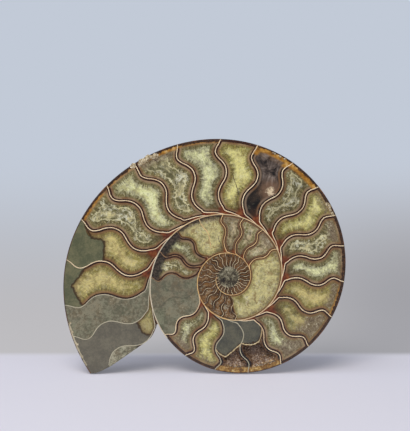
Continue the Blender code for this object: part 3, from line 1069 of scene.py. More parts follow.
@dataclass
class Cell:
    """One chamber of the sawn face: a slab of filling between two septa and two walls.

    Attributes:
        ahead: running angle of the septum nearer the shell's mouth, by share of the way across the whorl.
        behind: the same for the septum before it.
        rock_line: places on the rock line, as share from ahead to behind and share outwards, going behind.
        rock_side: 1 where the rock lies towards the rim from the line, and -1 where it lies inwards.
        hollow: depth in mm of the open hollow between the rock line and the rim, 0 for none.
        at_rim: whether its outer wall is the outside of the shell.
        low, high: the shares of the whorl's width between which it reaches.
        thick: how deep the slab goes, in mm.
        across, outward: how many squares its grid has each way.
        outline_steps: how many points each side of its outline has.
    """

    ahead: Edge
    behind: Edge
    rock_line: Sequence[tuple[float, float]] = ()
    rock_side: int = 1
    hollow: float = 0.0
    at_rim: bool = True
    low: float = 0.0
    high: float = 1.0
    thick: float = 1.0
    across: int = 34
    outward: int = 60
    outline_steps: int = 180

    def spot(self, u: float, v: float, depth: float = 0.0) -> Vector:
        """A point of the cell: u runs from the ahead septum to the behind one, and v outwards."""
        share = self.low + (self.high - self.low) * v
        angle = self.ahead(share) + (self.behind(share) - self.ahead(share)) * u
        inner = COIL.inner(angle)
        outer = COIL.radius(angle) - (RIM_BAND if self.at_rim else 0.0)
        return on_face(angle, inner + (outer - inner) * share, depth)

    def outline(self) -> tuple[list[Vector], list[Vector]]:
        """Finds the border of the cell.

        Returns:
            The border as a close line of points, and the part of it along the outer wall.
        """
        steps = [i / self.outline_steps for i in range(self.outline_steps + 1)]
        rim = [self.spot(u, 1.0) for u in steps]
        around = [self.spot(0.0, v) for v in steps] + rim
        around += [self.spot(1.0, 1 - v) for v in steps] + [self.spot(1 - u, 0.0) for u in steps]
        return around, rim

    def add_to(self, mesh: bmesh.types.BMesh) -> None:
        """Adds the slab.

        Args:
            mesh: what it joins, which has the float layers of LAYERS.
        """
        layers = [mesh.verts.layers.float[key] for key in LAYERS]
        grid = add_grid(mesh, self.across, self.outward)
        around, rim = self.outline()
        lengths = [0.0]
        for before, point in zip(around, around[1:]):
            lengths.append(lengths[-1] + (point - before).length / MM)
        edge_tree, rim_tree = search_tree(around), search_tree(rim)
        corner = self.spot(1.0, 0.035)
        rock_points = [self.spot(u, v) for u, v in self.rock_line]
        for vertex, *shares in grid:
            u, v = map(self.crowded, shares)
            flat = self.spot(u, v)
            _, index, distance = edge_tree.find(flat)
            edge, rim_away = distance / MM, rim_tree.find(flat)[2] / MM
            beyond = self.beyond_rock_line(flat, u, v, rock_points)
            depth = self.hollow_depth(flat, edge, rim_away, beyond)
            measures = (edge, lengths[index], rim_away, (flat - corner).length / MM, beyond, depth)
            for layer, value in zip(layers, measures):
                vertex[layer] = value
            vertex.co = self.spot(u, v, depth)
        thicken(mesh, faces_of(grid), self.thick)

    def hollow_depth(self, flat: Vector, edge: float, rim_away: float, beyond: float) -> float:
        """Finds how deep the hollow is: steep under the crust and along the septa, and rising slowly to the rim.

        Args:
            flat: the point on the sawn face.
            edge: its distance from the shell, in mm.
            rim_away: its distance from the outer wall, in mm.
            beyond: its signed distance from the rock line, in mm.

        Returns:
            The depth there, in mm.
        """
        if not self.hollow:
            return 0.0
        ragged = 0.7 * noise.noise(flat * 700)
        steep = smooth_step(edge + ragged, 1.5, 2.7) * smooth_step(-beyond + ragged, 0.5, 1.5)
        return steep * smooth_step(rim_away + ragged, 1.8, 9.0) * (self.hollow + 0.5 * noise.noise(flat * 1100))

    def socket(self) -> bmesh.types.BMesh:
        """Makes a solid that clears the room under the hollow.

        Returns:
            Its mesh, which starts 1 mm before the face and ends 1 mm under the hollow.
        """
        mesh = bmesh.new()
        for vertex, u, v in add_grid(mesh, 12, 12):
            vertex.co = self.spot(0.04 + 0.92 * u, 0.25 + 0.64 * v, -1.0)
        thicken(mesh, mesh.faces[:], self.hollow + 2.0)
        bmesh.ops.recalc_face_normals(mesh, faces=mesh.faces[:])
        return mesh

    @staticmethod
    def crowded(share: float) -> float:
        """Shifts a share so that rows lie closer together along the borders, where the bands are."""
        return 0.45 * share + 0.55 * (0.5 - 0.5 * math.cos(math.pi * share))

    def beyond_rock_line(self, flat: Vector, u: float, v: float, points: Sequence[Vector]) -> float:
        """Measures from the rock line.

        Args:
            flat: the point on the sawn face.
            u, v: its place in the cell.
            points: the rock line.

        Returns:
            Signed mm, above 0 on the rock's side of the line.
        """
        if not points:
            return -1.0
        nearest = min(to_segment(flat, a, b) for a, b in zip(points, points[1:]))
        side = 1.0 if v > through(self.rock_line, u) else -1.0
        return side * self.rock_side * nearest / MM


def add_filling(name: str, cells: Iterable[Cell], finish: Finish) -> None:
    """Makes one piece of the cells that share a finish."""
    mesh = bmesh.new()
    for key in LAYERS:
        mesh.verts.layers.float.new(key)
    for cell in cells:
        cell.add_to(mesh)
    bmesh.ops.recalc_face_normals(mesh, faces=mesh.faces[:])
    new_piece(name, mesh, [finish.build(name)])


def ragged_widths(count: int, width: float, swing: float, seed: Sequence[float], step: float) -> list[float]:
    """Widths in mm that swing about one by noise, whose row is set by a seed and a step along it."""
    return [width + swing * noise.noise(Vector((i * step, *seed))) for i in range(count)]


def widths_along(count: int, width: float, ends: float = 1.0, seed: float = 0.0) -> list[float]:
    """Sets a ribbon's widths, a little uneven as natural shell is.

    Args:
        count: how many points it has.
        width: its width in mm.
        ends: share of the width that it eases to at its ends.
        seed: which unevenness.

    Returns:
        The width in mm at each point.
    """
    out = []
    for i in range(count):
        t = i / (count - 1)
        taper = ends + (1 - ends) * smooth_step(min(t, 1 - t), 0.0, 0.08)
        out.append(width * taper * (1 + 0.12 * noise.noise(Vector((t * 9.0, seed, 0.5)))))
    return out


@dataclass
class Ribbon:
    """A thin wall of shell seen edge-on: a strip that follows a line on the sawn face, a hair proud of it.

    Attributes:
        path: the line in the face's own polar coordinates.
        widths: the strip's width in mm at each point.
        proud: height in mm of its rounded top over the face.
        deep: how far in mm it reaches into the stone.
    """

    path: Sequence[Polar]
    widths: Sequence[float]
    proud: float = 0.05
    deep: float = 0.7

    def add_to(self, mesh: bmesh.types.BMesh) -> None:
        """Adds the strip to a mesh as a closed bar."""
        flat = [Vector((r * math.cos(math.radians(a)), r * math.sin(math.radians(a)))) for a, r in self.path]
        last = len(flat) - 1
        grid = add_grid(mesh, last, 4)
        for vertex, u, _ in grid:
            i, across = round(u * last), vertex.co.y
            ahead = (flat[min(i + 1, last)] - flat[max(i - 1, 0)]).normalized()
            spot = flat[i] + Vector((-ahead.y, ahead.x)) * across * self.widths[i] / 2
            vertex.co = TO_WORLD @ (Vector((spot.x, -self.proud * (1 - across * across), spot.y)) * MM)
        thicken(mesh, faces_of(grid), self.deep)


def add_ribbons(name: str, ribbons: Iterable[Ribbon], finish: ShellFinish) -> None:
    """Joins ribbons of one finish as a piece."""
    mesh = bmesh.new()
    for ribbon in ribbons:
        ribbon.add_to(mesh)
    bmesh.ops.recalc_face_normals(mesh, faces=mesh.faces[:])
    new_piece(name, mesh, [finish.build(name)])


class BackPart(Enum):
    """The surfaces of the back shell, by material index."""

    OUTSIDE = 0
    RIM = 1
    BREAK = 2


@dataclass
class BackShell:
    """The domed outside of the half, with ribs, growth lines and the umbilicus, and the rim around the sawn face.

    The section's sizes are shares of the whorl's own outer radius.

    Attributes:
        half_thickness: thickness behind the sawn face.
        thickest_at, shoulder_at, seam_at: where it is thickest, turns down and meets the whorl inside it.
        shoulder_drop: share of the thickness lost at the shoulder.
        ribs_per_turn, rib_height, rib_sweep, ribs_from, ribs_to: the ribs' number, height, bend and reach.
        segments, flank_rows, umbilical_rows, break_rows: how finely it is modelled.
        rim_width, rim_step: mm of flat rim around the face, and of the wall down from it.
        floor_depth: mm down to the floor behind the fillings.
    """

    half_thickness: float = 0.225
    thickest_at: float = 0.55
    shoulder_at: float = 0.34
    seam_at: float = 0.26
    shoulder_drop: float = 0.10
    ribs_per_turn: int = 30
    rib_height: float = 0.022
    rib_sweep: float = 8.0
    ribs_from: float = 0.42
    ribs_to: float = 0.97
    segments: int = 450
    flank_rows: int = 30
    umbilical_rows: int = 12
    break_rows: int = 40
    rim_width: float = RIM_BAND
    rim_step: float = 0.02
    floor_depth: float = 0.9

    def seam(self, angle: float) -> float:
        """Radius in mm where a whorl meets the one inside it."""
        return self.seam_at * COIL.radius(angle)

    def cover(self, angle: float) -> float:
        """Radius in mm down to which the next turn covers this one."""
        if angle < NOTCH_ANGLE + 1e-6:
            return self.seam(angle + FULL_TURN)
        return self.seam_at * GROWTH * COIL.radius(angle)

    def rib(self, angle: float, share: float) -> float:
        """Height of the ribs as a share of the thickness."""
        window = smooth_step(share, self.ribs_from, self.ribs_from + 0.16)
        window *= 1 - smooth_step(share, self.ribs_to - 0.12, self.ribs_to)
        bend = math.sin(math.pi * (share - self.ribs_from) / (self.ribs_to - self.ribs_from))
        return self.rib_height * window * math.cos(math.radians(self.ribs_per_turn * (angle + self.rib_sweep * bend)))

    def depth(self, angle: float, radius: float) -> float:
        """Finds the outside.

        Args:
            angle: running angle in degrees.
            radius: distance in mm from the middle of the coil.

        Returns:
            How far in mm it lies behind the sawn face there.
        """
        whorl = COIL.radius(angle)
        thick = self.half_thickness * whorl
        share = radius / whorl
        if share >= self.thickest_at:
            across = min((share - self.thickest_at) / (1 - self.thickest_at), 1.0)
            return thick * (math.sqrt(1 - across**2) + self.rib(angle, share) * math.sqrt(1 - across**4))
        inward = (self.thickest_at - share) / (self.thickest_at - self.shoulder_at)
        if share >= self.shoulder_at:
            return thick * (1 - self.shoulder_drop * inward**2 + self.rib(angle, share))
        if angle - FULL_TURN > INNERMOST_ANGLE - 1e-6:
            seam = self.depth(angle - FULL_TURN, self.seam(angle))
        else:
            seam = thick / GROWTH
        shoulder = thick * (1 - self.shoulder_drop)
        return seam + (shoulder - seam) * smooth_step(share, self.seam_at, self.shoulder_at)

    @staticmethod
    def bent(angle: float, radius: float, depth: float) -> Vector:
        """A point of the outside, with the last degrees drawn to the broken edge."""
        fade = smooth_step(angle, BREAK_ANGLE - BREAK_BLEND, BREAK_ANGLE)
        return on_face(angle + fade * break_offset(radius), radius, depth)

    def add_skin(
        self, mesh: bmesh.types.BMesh, first: float, segments: int, rows: int,
        row_radius: Callable[[float, float], float],
    ) -> None:
        """Adds a strip of the outside, as a grid bent onto the coil, with its own UV map.

        Args:
            mesh: what it joins.
            first: running angle where it starts; it ends at the break.
            segments: how many squares it has along the coil.
            rows: how many it has across.
            row_radius: radius in mm by running angle and share of the way across.
        """
        layer = mesh.loops.layers.uv["coil"]
        grid = add_grid(mesh, segments, rows)
        spots = {}
        for vertex, along, row in grid:
            angle = first + (BREAK_ANGLE - first) * along
            radius = row_radius(angle, row)
            spots[vertex] = (angle / FULL_TURN, radius / COIL.radius(angle))
            vertex.co = self.bent(angle, radius, self.depth(angle, radius))
        for face in faces_of(grid):
            for loop in face.loops:
                loop[layer].uv = spots[loop.vert]

    def flank_row(self, angle: float, row: float) -> float:
        """Radius in mm of a row of the flank, close together at the rim."""
        rim, inner = COIL.radius(angle), self.cover(angle)
        return rim - (rim - inner) * (1 - math.cos(row * math.pi / 2))

    def umbilical_row(self, angle: float, row: float) -> float:
        """Radius in mm of a row between the cover line and the seam."""
        outer, inner = self.cover(angle), self.seam(angle)
        return outer + (inner - outer) * row

    def build(self, sockets: Iterable[bmesh.types.BMesh]) -> None:
        """Models and dresses the back as one closed body.

        Args:
            sockets: solids to be cut out of it, which make room for the hollows of the face.
        """
        mesh = bmesh.new()
        mesh.loops.layers.uv.new("coil")
        self.add_skin(mesh, NOTCH_ANGLE, self.segments, self.flank_rows, self.flank_row)
        self.add_skin(mesh, INNERMOST_ANGLE, 2 * self.segments, self.umbilical_rows, self.umbilical_row)
        outer, inner = COIL.radius(BREAK_ANGLE), COIL.radius(NOTCH_ANGLE)
        rows = self.break_rows
        spots = [self.bent(BREAK_ANGLE, outer + (inner - outer) * i / rows, 0.0) for i in range(rows)]
        points = [mesh.verts.new(spot) for spot in (*spots, on_face(NOTCH_ANGLE, inner))]
        for pair in zip(points, points[1:]):
            mesh.edges.new(pair)
        bmesh.ops.remove_doubles(mesh, verts=mesh.verts[:], dist=1e-6)
        self.close_front(mesh)
        self.close_ends(mesh)
        bmesh.ops.recalc_face_normals(mesh, faces=mesh.faces[:])
        outside = BackFinish(self.ribs_per_turn, self.rib_sweep, self.ribs_from, self.ribs_to)
        finishes = {BackPart.OUTSIDE: outside, BackPart.RIM: RimFinish(), BackPart.BREAK: BROKEN_ROCK}
        materials = [finishes[part].build("back_shell") for part in BackPart]
        piece = new_piece("back_shell", mesh, materials, replaces=[FOSSIL_NODE])
        for socket in sockets:
            self.cut(piece, socket)

    def close_front(self, mesh: bmesh.types.BMesh) -> None:
        """Closes the front with a flat rim and a floor behind the fillings."""
        to_face = TO_WORLD.inverted()
        flush = 1e-4 * MM
        rim = [e for e in mesh.edges if all(abs((to_face @ v.co).y) < flush for v in e.verts)]
        front = bmesh.ops.triangle_fill(mesh, use_beauty=True, edges=rim, normal=-INWARD)
        faces = [g for g in front["geom"] if isinstance(g, bmesh.types.BMFace)]
        inset = [
            bmesh.ops.inset_region(mesh, faces=faces, thickness=width * MM, use_even_offset=True)["faces"]
            for width in (self.rim_width, self.rim_step)
        ]
        floor = {v for face in faces for v in face.verts}
        bmesh.ops.translate(mesh, vec=INWARD * (self.floor_depth * MM), verts=list(floor))
        for face in (*faces, *inset[0], *inset[1]):
            face.material_index = BackPart.RIM.value

    def close_ends(self, mesh: bmesh.types.BMesh) -> None:
        """Closes the core in the umbilicus, then the broken end."""
        to_face = TO_WORLD.inverted()
        core_radius = self.seam(NOTCH_ANGLE) * 1.001 * MM

        def near_core(vertex: bmesh.types.BMVert) -> bool:
            """Whether a vertex lies on the core's edge."""
            local = to_face @ vertex.co
            return math.hypot(local.x, local.z) < core_radius

        core = [e for e in mesh.edges if e.is_boundary and all(near_core(v) for v in e.verts)]
        bmesh.ops.triangle_fill(mesh, use_beauty=True, edges=core, normal=INWARD)
        ray = on_face(BREAK_ANGLE, 50.0) - TO_WORLD.translation
        open_edges = [e for e in mesh.edges if e.is_boundary]
        facing = ray.cross(INWARD).normalized()
        end = bmesh.ops.triangle_fill(mesh, use_beauty=True, edges=open_edges, normal=facing)
        for face in (g for g in end["geom"] if isinstance(g, bmesh.types.BMFace)):
            face.material_index = BackPart.BREAK.value

    @staticmethod
    def cut(piece: bpy.types.Object, mesh: bmesh.types.BMesh) -> None:
        """Cuts a solid out of a piece."""
        cutter = linked("socket", mesh)
        step = piece.modifiers.new("Socket", "BOOLEAN")
        step.operation = "DIFFERENCE"
        step.object = cutter
        evaluated = piece.evaluated_get(bpy.context.evaluated_depsgraph_get())
        piece.data = bpy.data.meshes.new_from_object(evaluated)
        piece.modifiers.clear()
        bpy.data.objects.remove(cutter, do_unlink=True)


def broken_edge(share: float) -> float:
    """Running angle of the broken edge at a share of the way across the last turn."""
    return BREAK_ANGLE + break_offset(COIL.across(BREAK_ANGLE, share)[1])


def to_the_break(share: float) -> float:
    """Running angle of the last septum, or of the broken edge where that comes first."""
    return min(LAST_TURN[0].angle(share), broken_edge(share))


def open_chamber_end(share: float) -> float:
    """Running angle where the crystal of the long chamber ends."""
    return OPEN_CHAMBER_END + 6 * share


@dataclass(frozen=True)
class Chamber:
    """How one chamber of the last turn is filled: its finish and what sets its cell apart."""

    finish: FillFinish | RockFinish
    rock_line: Sequence[tuple[float, float]] = ()
    rock_side: int = 1
    hollow: float = 0.0


# The chambers of the last turn, from the broken end back to the notch.
LAST_CHAMBERS = (
    Chamber(
        FillFinish(Fill.HONEY, 0.3, 0.0, shell=0.0, rock=Fill.GREY_ROCK, heart="8A8A54", dim=0.36),
        ((0.0, 0.14), (0.1, 0.17), (0.45, 0.22), (1.0, 0.23)),
    ),
    Chamber(RockFinish("56543F", "8C8870")),
    Chamber(
        FillFinish(Fill.HONEY, rock=Fill.ROCK, shell=0.0),
        ((0.0, 0.80), (0.3, 0.86), (0.5, 0.91), (0.7, 0.85), (0.9, 0.80), (1.0, 0.78)),
    ),
    Chamber(
        FillFinish(Fill.HONEY, rock=Fill.ROCK, shell=0.0, rust=8.5),
        ((0.0, 0.58), (0.2, 0.60), (0.5, 0.63), (0.65, 0.68), (0.8, 0.80), (1.0, 0.99)),
    ),
    Chamber(FillFinish(Fill.MOTTLED, amber=2.0, rust=7.0)),
    Chamber(FillFinish(Fill.MILKY, amber=1.6, shell=1.2, rust=3.0, heart="BAB682")),
    Chamber(FillFinish(Fill.MOTTLED, amber=2.2, rust=6.0, dust=5.0)),
    Chamber(FillFinish(Fill.MILKY, amber=1.6, shell=1.2, heart="8E8E66", dim=0.08)),
    Chamber(FillFinish(Fill.LIME, shell=0.3)),
    Chamber(FillFinish(Fill.SMOKY, grain=2.6, amber=5.0, shell=0.5, star=(423.8, 54.4))),
    Chamber(FillFinish(Fill.MOTTLED, amber=3.3, dim=0.2)),
    Chamber(FillFinish(Fill.LIME, heart="B5B268", dust=4.0, shell=1.4)),
    Chamber(FillFinish(Fill.MOTTLED, dust=7.0, shell=1.2)),
    Chamber(FillFinish(Fill.MILKY, heart="8E8A60", dust=4.0, shell=1.6)),
    Chamber(FillFinish(Fill.HONEY, rust=4.0, amber=1.8, dust=6.0, shell=1.4)),
    Chamber(FillFinish(Fill.HONEY, heart="8A8450", dust=12.0, shell=1.0, dim=0.12)),
    Chamber(FillFinish(Fill.MILKY, heart="9A9866", dust=11.0, rust=5.0)),
    Chamber(
        FillFinish(Fill.BROWN, rust=0.0, rock=Fill.DARK_ROCK, druse=True, amber=2.0),
        ((0.0, 0.24), (0.12, 0.36), (0.25, 0.47), (0.65, 0.48), (1.0, 0.44)), -1, 4.2,
    ),
    Chamber(
        FillFinish(Fill.BROWN, rust=0.0, rock=Fill.DARK_ROCK, druse=True, amber=2.4),
        ((0.0, 0.45), (0.25, 0.57), (0.65, 0.70), (0.85, 0.69), (1.0, 0.62)), -1, 2.8,
    ),
    Chamber(FillFinish(Fill.LIME, rust=4.0, heart="BBB86A", dust=4.0)),
    Chamber(FillFinish(Fill.MILKY, rust=4.0, heart="948E64", dust=6.0)),
)
# The chambers of the turn inside it, from the notch inwards; the last is the long open one.
SECOND_CHAMBERS = (
    RockFinish("5A5842", "86846C"),
    RockFinish("545240", "807C64"),
    FillFinish(Fill.MOTTLED, 0.95, 1.5, 0.7, shell=0.0, soot=5.5),
    FillFinish(Fill.MILKY, 0.95, 1.5, 0.7, shell=0.0, soot=5.0, dim=0.1),
    FillFinish(Fill.CLEAR, 0.6, 2.5, 0.9, shell=0.0, soot=2.0, dust=3.5, heart="8C8658"),
    FillFinish(Fill.MAUVE, 0.6, 2.5, 0.8, shell=0.0, dust=3.0),
    FillFinish(Fill.MAUVE, 0.6, 2.5, 0.8, shell=0.0, heart="8A8458"),
    FillFinish(Fill.MAUVE, 0.6, 2.5, 0.8, shell=0.0, heart="A0946C", dust=4.5),
    FillFinish(Fill.CLEAR, 0.55, 0.0, 1.5, shell=0.0, dust=2.0),
)
# Hairline cracks and brown threads in the crystal, and a septum of which only a stub of shell is left.
THREADS = (
    ((448.0, 59.0), (446.6, 55.5), (445.8, 53.5), (444.0, 50.0), (443.2, 47.0)),
    ((104.0, 16.5), (103.0, 19.0), (104.5, 21.5), (103.5, 24.0)),
    ((483.0, 81.5), (482.4, 79.0), (481.5, 76.5)),
)
STUB = ((117.0, 36.8), (117.2, 32.5), (115.2, 28.8), (115.6, 25.6), (118.2, 22.0), (121.5, 19.0))


@dataclass(frozen=True)
class ChipRun:
    """A row of chips along the rim.

    Attributes:
        first: running angle of the first, in degrees.
        step: degrees between them.
        count: how many there are.
        inside: how far in mm they stand in from the rim, in turn.
        sizes: their sizes in mm, in turn.
    """

    first: float
    step: float
    count: int
    inside: tuple[float, ...]
    sizes: tuple[float, ...]

    def places(self) -> list[tuple[float, float, float]]:
        """The angle, the distance in from the rim and the size of each chip."""
        return [
            (self.first + self.step * i, self.inside[i % len(self.inside)], self.sizes[i % len(self.sizes)])
            for i in range(self.count)
        ]


CHIPS = (
    ChipRun(482.0, 1.05, 9, (1.9, 1.3, 0.7), (2.0, 1.6)),
    ChipRun(391.5, 1.3, 5, (1.2, 1.5), (1.2,)),
    ChipRun(556.0, 4.1, 4, (1.1,), (1.0,)),
    ChipRun(425.0, 1.2, 5, (0.9,), (0.8,)),
)


@dataclass
class SawnFace:
    """All that shows on the polished face: the fillings of the chambers and the shell between them.

    Attributes:
        septum_width, wall_width, second_width, early_width: widths in mm of the septa of the last turn, the
            spiral wall, the septa of the second turn and those of the early whorls.
        end_share: share of its width that a septum eases to at its ends.
        line_points: how many steps a crack or a crust has.
    """

    septum_width: float = 0.47
    wall_width: float = 0.62
    second_width: float = 0.42
    early_width: float = 0.24
    end_share: float = 0.8
    line_points: int = 30

    @staticmethod
    def cell(number: int) -> Cell:
        """Sets out a chamber of the last turn.

        Args:
            number: which chamber, from 0 at the broken end.

        Returns:
            Its cell, with a finer grid where it has a hollow.
        """
        chamber = LAST_CHAMBERS[number]
        ahead = LAST_TURN[number].angle if number else to_the_break
        cell = Cell(ahead, LAST_TURN[number + 1].angle, chamber.rock_line, chamber.rock_side, chamber.hollow)
        if chamber.hollow:
            cell.thick, cell.across, cell.outward = 0.3, 80, 130
        return cell

    def sockets(self) -> list[bmesh.types.BMesh]:
        """The room that the open hollows need in the body behind them."""
        return [self.cell(number).socket() for number, chamber in enumerate(LAST_CHAMBERS) if chamber.hollow]

    def fillings(self) -> None:
        """Models the filling of every chamber."""
        for number, chamber in enumerate(LAST_CHAMBERS):
            add_filling(f"chamber_{number + 1:02d}", [self.cell(number)], chamber.finish)
        flake = Cell(broken_edge, to_the_break, low=0.36, high=0.78, across=12, outward=24)
        add_filling("broken_flake", [flake], RockFinish("66604A", "C0BCA2", "F2EAD0"))
        borders = [septum.angle for septum in (LAST_TURN[-1], *SECOND_TURN)] + [open_chamber_end]
        for number, finish in enumerate(SECOND_CHAMBERS):
            across = 150 if borders[number + 1] is open_chamber_end else 30
            cell = Cell(borders[number], borders[number + 1], at_rim=False, across=across, outward=36)
            add_filling(f"second_turn_{number + 1}", [cell], finish)
        early = early_septa()
        cells = [Cell(a.angle, b.angle, at_rim=False, across=10, outward=18) for a, b in zip(early, early[1:])]
        add_filling("early_whorls", cells, FillFinish(Fill.BROWN, 0.32, 0.0, 0.6, shell=0.0))

    def first_chamber(self) -> None:
        """Models the round first chamber, full of crystal crumbs."""
        mesh = bmesh.new()
        for key in LAYERS:
            mesh.verts.layers.float.new(key)
        made = bmesh.ops.create_circle(mesh, cap_ends=True, cap_tris=False, segments=64, radius=FIRST_CHAMBER * MM)
        turn = TO_WORLD @ Matrix.Rotation(math.radians(90), 4, "X")
        bmesh.ops.transform(mesh, verts=made["verts"], matrix=turn)
        thicken(mesh, mesh.faces[:], 1.0)
        bmesh.ops.recalc_face_normals(mesh, faces=mesh.faces[:])
        new_piece("first_chamber", mesh, [CoreFinish().build("first_chamber")])

    def septum(self, septum: Septum, width: float, seed: float, high: float = 1.0) -> Ribbon:
        """A septum's line of shell, up to a share of the whorl's width."""
        path = septum.path(0.0, high)
        return Ribbon(path, widths_along(len(path), width, self.end_share, seed))

    def early(self, septum: Septum, seed: float) -> Ribbon:
        """A fine line of shell of the early whorls."""
        path = septum.path(count=30)
        return Ribbon(path, widths_along(len(path), self.early_width, self.end_share, seed), 0.03, 0.4)

    def wall(self, first: float, last: float, step: float = 1.5) -> Ribbon:
        """Models a stretch of the spiral wall, thinner on the early whorls.

        Args:
            first: running angle where it starts.
            last: running angle where it ends.
            step: degrees between its points.

        Returns:
            Its ribbon.
        """
        count = int((last - first) / step)
        angles = [first + (last - first) * i / count for i in range(count + 1)]
        widths = widths_along(count + 1, self.wall_width)
        widths = [w * (0.6 + 0.4 * smooth_step(a, -300.0, -60.0)) for w, a in zip(widths, angles)]
        return Ribbon([(a, COIL.radius(a)) for a in angles], widths, 0.06)

    def thread(self, points: Sequence[Polar], seed: float) -> Ribbon:
        """Models a slightly wandering line.

        Args:
            points: what it runs through.
            seed: which way it wanders.

        Returns:
            Its ribbon.
        """
        count = self.line_points + 1
        places = [i / self.line_points * (len(points) - 1) for i in range(count)]
        angles, radii = ([through(list(enumerate(row)), place) for place in places] for row in zip(*points))
        stray = [0.5 * noise.noise(Vector((i * 0.6, seed, 0.0))) for i in range(count)]
        path = [(angle + away, radius) for angle, away, radius in zip(angles, stray, radii)]
        return Ribbon(path, ragged_widths(count, 0.34, 0.3, (seed, 7.0), 0.5), 0.02, 0.3)

    def crust(self, number: int) -> Ribbon:
        """Models the pale crust along the rock line of a chamber of the last turn.

        Args:
            number: which chamber, from 0 at the broken end.

        Returns:
            Its ribbon.
        """
        ahead, behind = LAST_TURN[number], LAST_TURN[number + 1]
        count = 2 * self.line_points + 1
        path = []
        for i in range(count):
            u = i / (count - 1)
            v = through(LAST_CHAMBERS[number].rock_line, u) + 0.012 * noise.noise(Vector((u * 8, number, 0)))
            path.append(COIL.across(ahead.angle(v) + (behind.angle(v) - ahead.angle(v)) * u, v))
        return Ribbon(path, ragged_widths(count, 0.6, 0.5, (number, 3.0), 0.23), 0.15)

    @staticmethod
    def tip_crust(first: float = 556.0, step: float = 0.4, count: int = 41) -> Ribbon:
        """The crust just inside the rim by the broken tip."""
        angles = [first + step * i for i in range(count)]
        widths = ragged_widths(count, 0.9, 1.1, (5.0, 9.0), 0.31)
        return Ribbon([(angle, COIL.radius(angle) - 0.75) for angle in angles], widths)

    def hollow_septum(self) -> Ribbon:
        """The skirt of brown crystals on the septum that crosses the hollows."""
        path = LAST_TURN[18].path(0.62, 0.99)
        return Ribbon(path, widths_along(len(path), 1.7, 0.6, 33.0), -0.02, 2.6)

    def shell(self) -> None:
        """Models the septa, the spiral wall, the crusts and the cracks, each in its own colour of shell."""
        last = {
            septum: self.septum(septum, self.septum_width, number, 0.995 if number else 0.76)
            for number, septum in enumerate(LAST_TURN)
        }
        second = [self.septum(septum, self.second_width, 40 + i) for i, septum in enumerate(SECOND_TURN[1:])]
        early = [self.early(septum, 60 + i) for i, septum in enumerate(early_septa())]
        sooty, clear = second[:BY_THE_SOOT], second[BY_THE_SOOT:]
        for name, ribbons, finish in (
            ("septa_last_turn", [last[s] for s in LAST_TURN if not s.in_rock], ShellFinish()),
            ("septa_in_rock", [last[s] for s in LAST_TURN if s.in_rock], ShellFinish("BFB89E", "958D72")),
            ("septa_by_the_soot", sooty, ShellFinish("96724C", "2E1C12", stains_mm=4.0, stained=1.0)),
            ("septa_second_turn", [*clear, self.thread(STUB, 9.0)], ShellFinish("E2BC84", "A07844")),
            ("septa_early_whorls", early, ShellFinish("E4CDA0", "4A2C16", stains_mm=3.5, stained=1.0)),
            ("septum_crystals", [self.hollow_septum()], ShellFinish("5C4028", "2A1A10", 0.4, 3.0, 1.0)),
            ("crust_in_hollows", [self.crust(17), self.crust(18)], ShellFinish("C8B488", "7E5E36")),
            ("wall_of_early_whorls", [self.wall(-540.0, -90.0)], ShellFinish("E0B878", "A87438")),
            ("wall_of_the_coil", [self.wall(-91.0, NOTCH_ANGLE - 68)], ShellFinish("D0B488", "8E7040")),
            ("wall_by_the_rock", [self.wall(NOTCH_ANGLE - 69, NOTCH_ANGLE + 12)], ShellFinish("D6CAB0", "A89A7C")),
            ("stains_and_cracks", [self.thread(t, i) for i, t in enumerate(THREADS)],
             ShellFinish("3A2210", "1C100A", 0.5)),
            ("crust_by_the_tip", [self.tip_crust()], ShellFinish("B8AE92", "7E765E", 0.6)),
        ):
            add_ribbons(name, ribbons, finish)

    @staticmethod
    def chips() -> None:
        """Models the crumbled places of the rim, where white flakes of shell stand in the chipped edge."""
        mesh = bmesh.new()
        places = [place for run in CHIPS for place in run.places()]
        for number, (angle, inside, size) in enumerate(places):
            made = bmesh.ops.create_icosphere(mesh, subdivisions=3, radius=1.0)
            # Three plain noises: noise_vector would start from the clock, and the chips would differ in each run.
            stray = Vector([noise.noise(Vector((number * 1.7, 3.0 + 5.3 * axis, 1.5))) for axis in range(3)])
            angle += 1.6 * stray.x
            turn = math.radians(angle)
            radius = COIL.radius(min(angle, BREAK_ANGLE)) - inside - 0.4 * abs(stray.y)
            size *= 0.75 + 0.9 * stray.z
            for vertex in made["verts"]:
                vertex.co *= 1 + 0.5 * noise.noise(vertex.co * 2.2 + Vector((number * 5.0, 0, 0)))
            where = TO_WORLD @ Matrix.Translation(Vector((radius * math.cos(turn), 0.05, radius * math.sin(turn))) * MM)
            shape = Matrix.Rotation(-turn, 4, "Y") @ Matrix.Diagonal((size * MM * 0.8, 0.4 * MM, size * MM, 1.0))
            bmesh.ops.transform(mesh, verts=made["verts"], matrix=where @ shape)
        bmesh.ops.recalc_face_normals(mesh, faces=mesh.faces[:])
        new_piece("chipped_rim", mesh, [CRUMBLED_SHELL.build("chipped_rim")])

    def build(self) -> None:
        """Models and dresses every piece of the face."""
        self.fillings()
        self.first_chamber()
        self.shell()
        self.chips()


@dataclass
class Stand:
    """The small steel stand behind the fossil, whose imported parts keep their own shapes."""

    steel: tuple[str, ...] = ("stand_base", "stand_post", "upper_rest", "lower_rest")
    felt: tuple[str, ...] = ("upper_pad", "lower_pad", "base_felt")

    def build(self) -> None:
        """Dresses the stand's parts."""
        for names, material in ((self.steel, PowderCoat().build("stand")), (self.felt, Felt().build("stand"))):
            for name in names:
                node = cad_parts[name]
                node.data.materials.clear()
                node.data.materials.append(material)
                log.info("%s: %s", name, material.name)


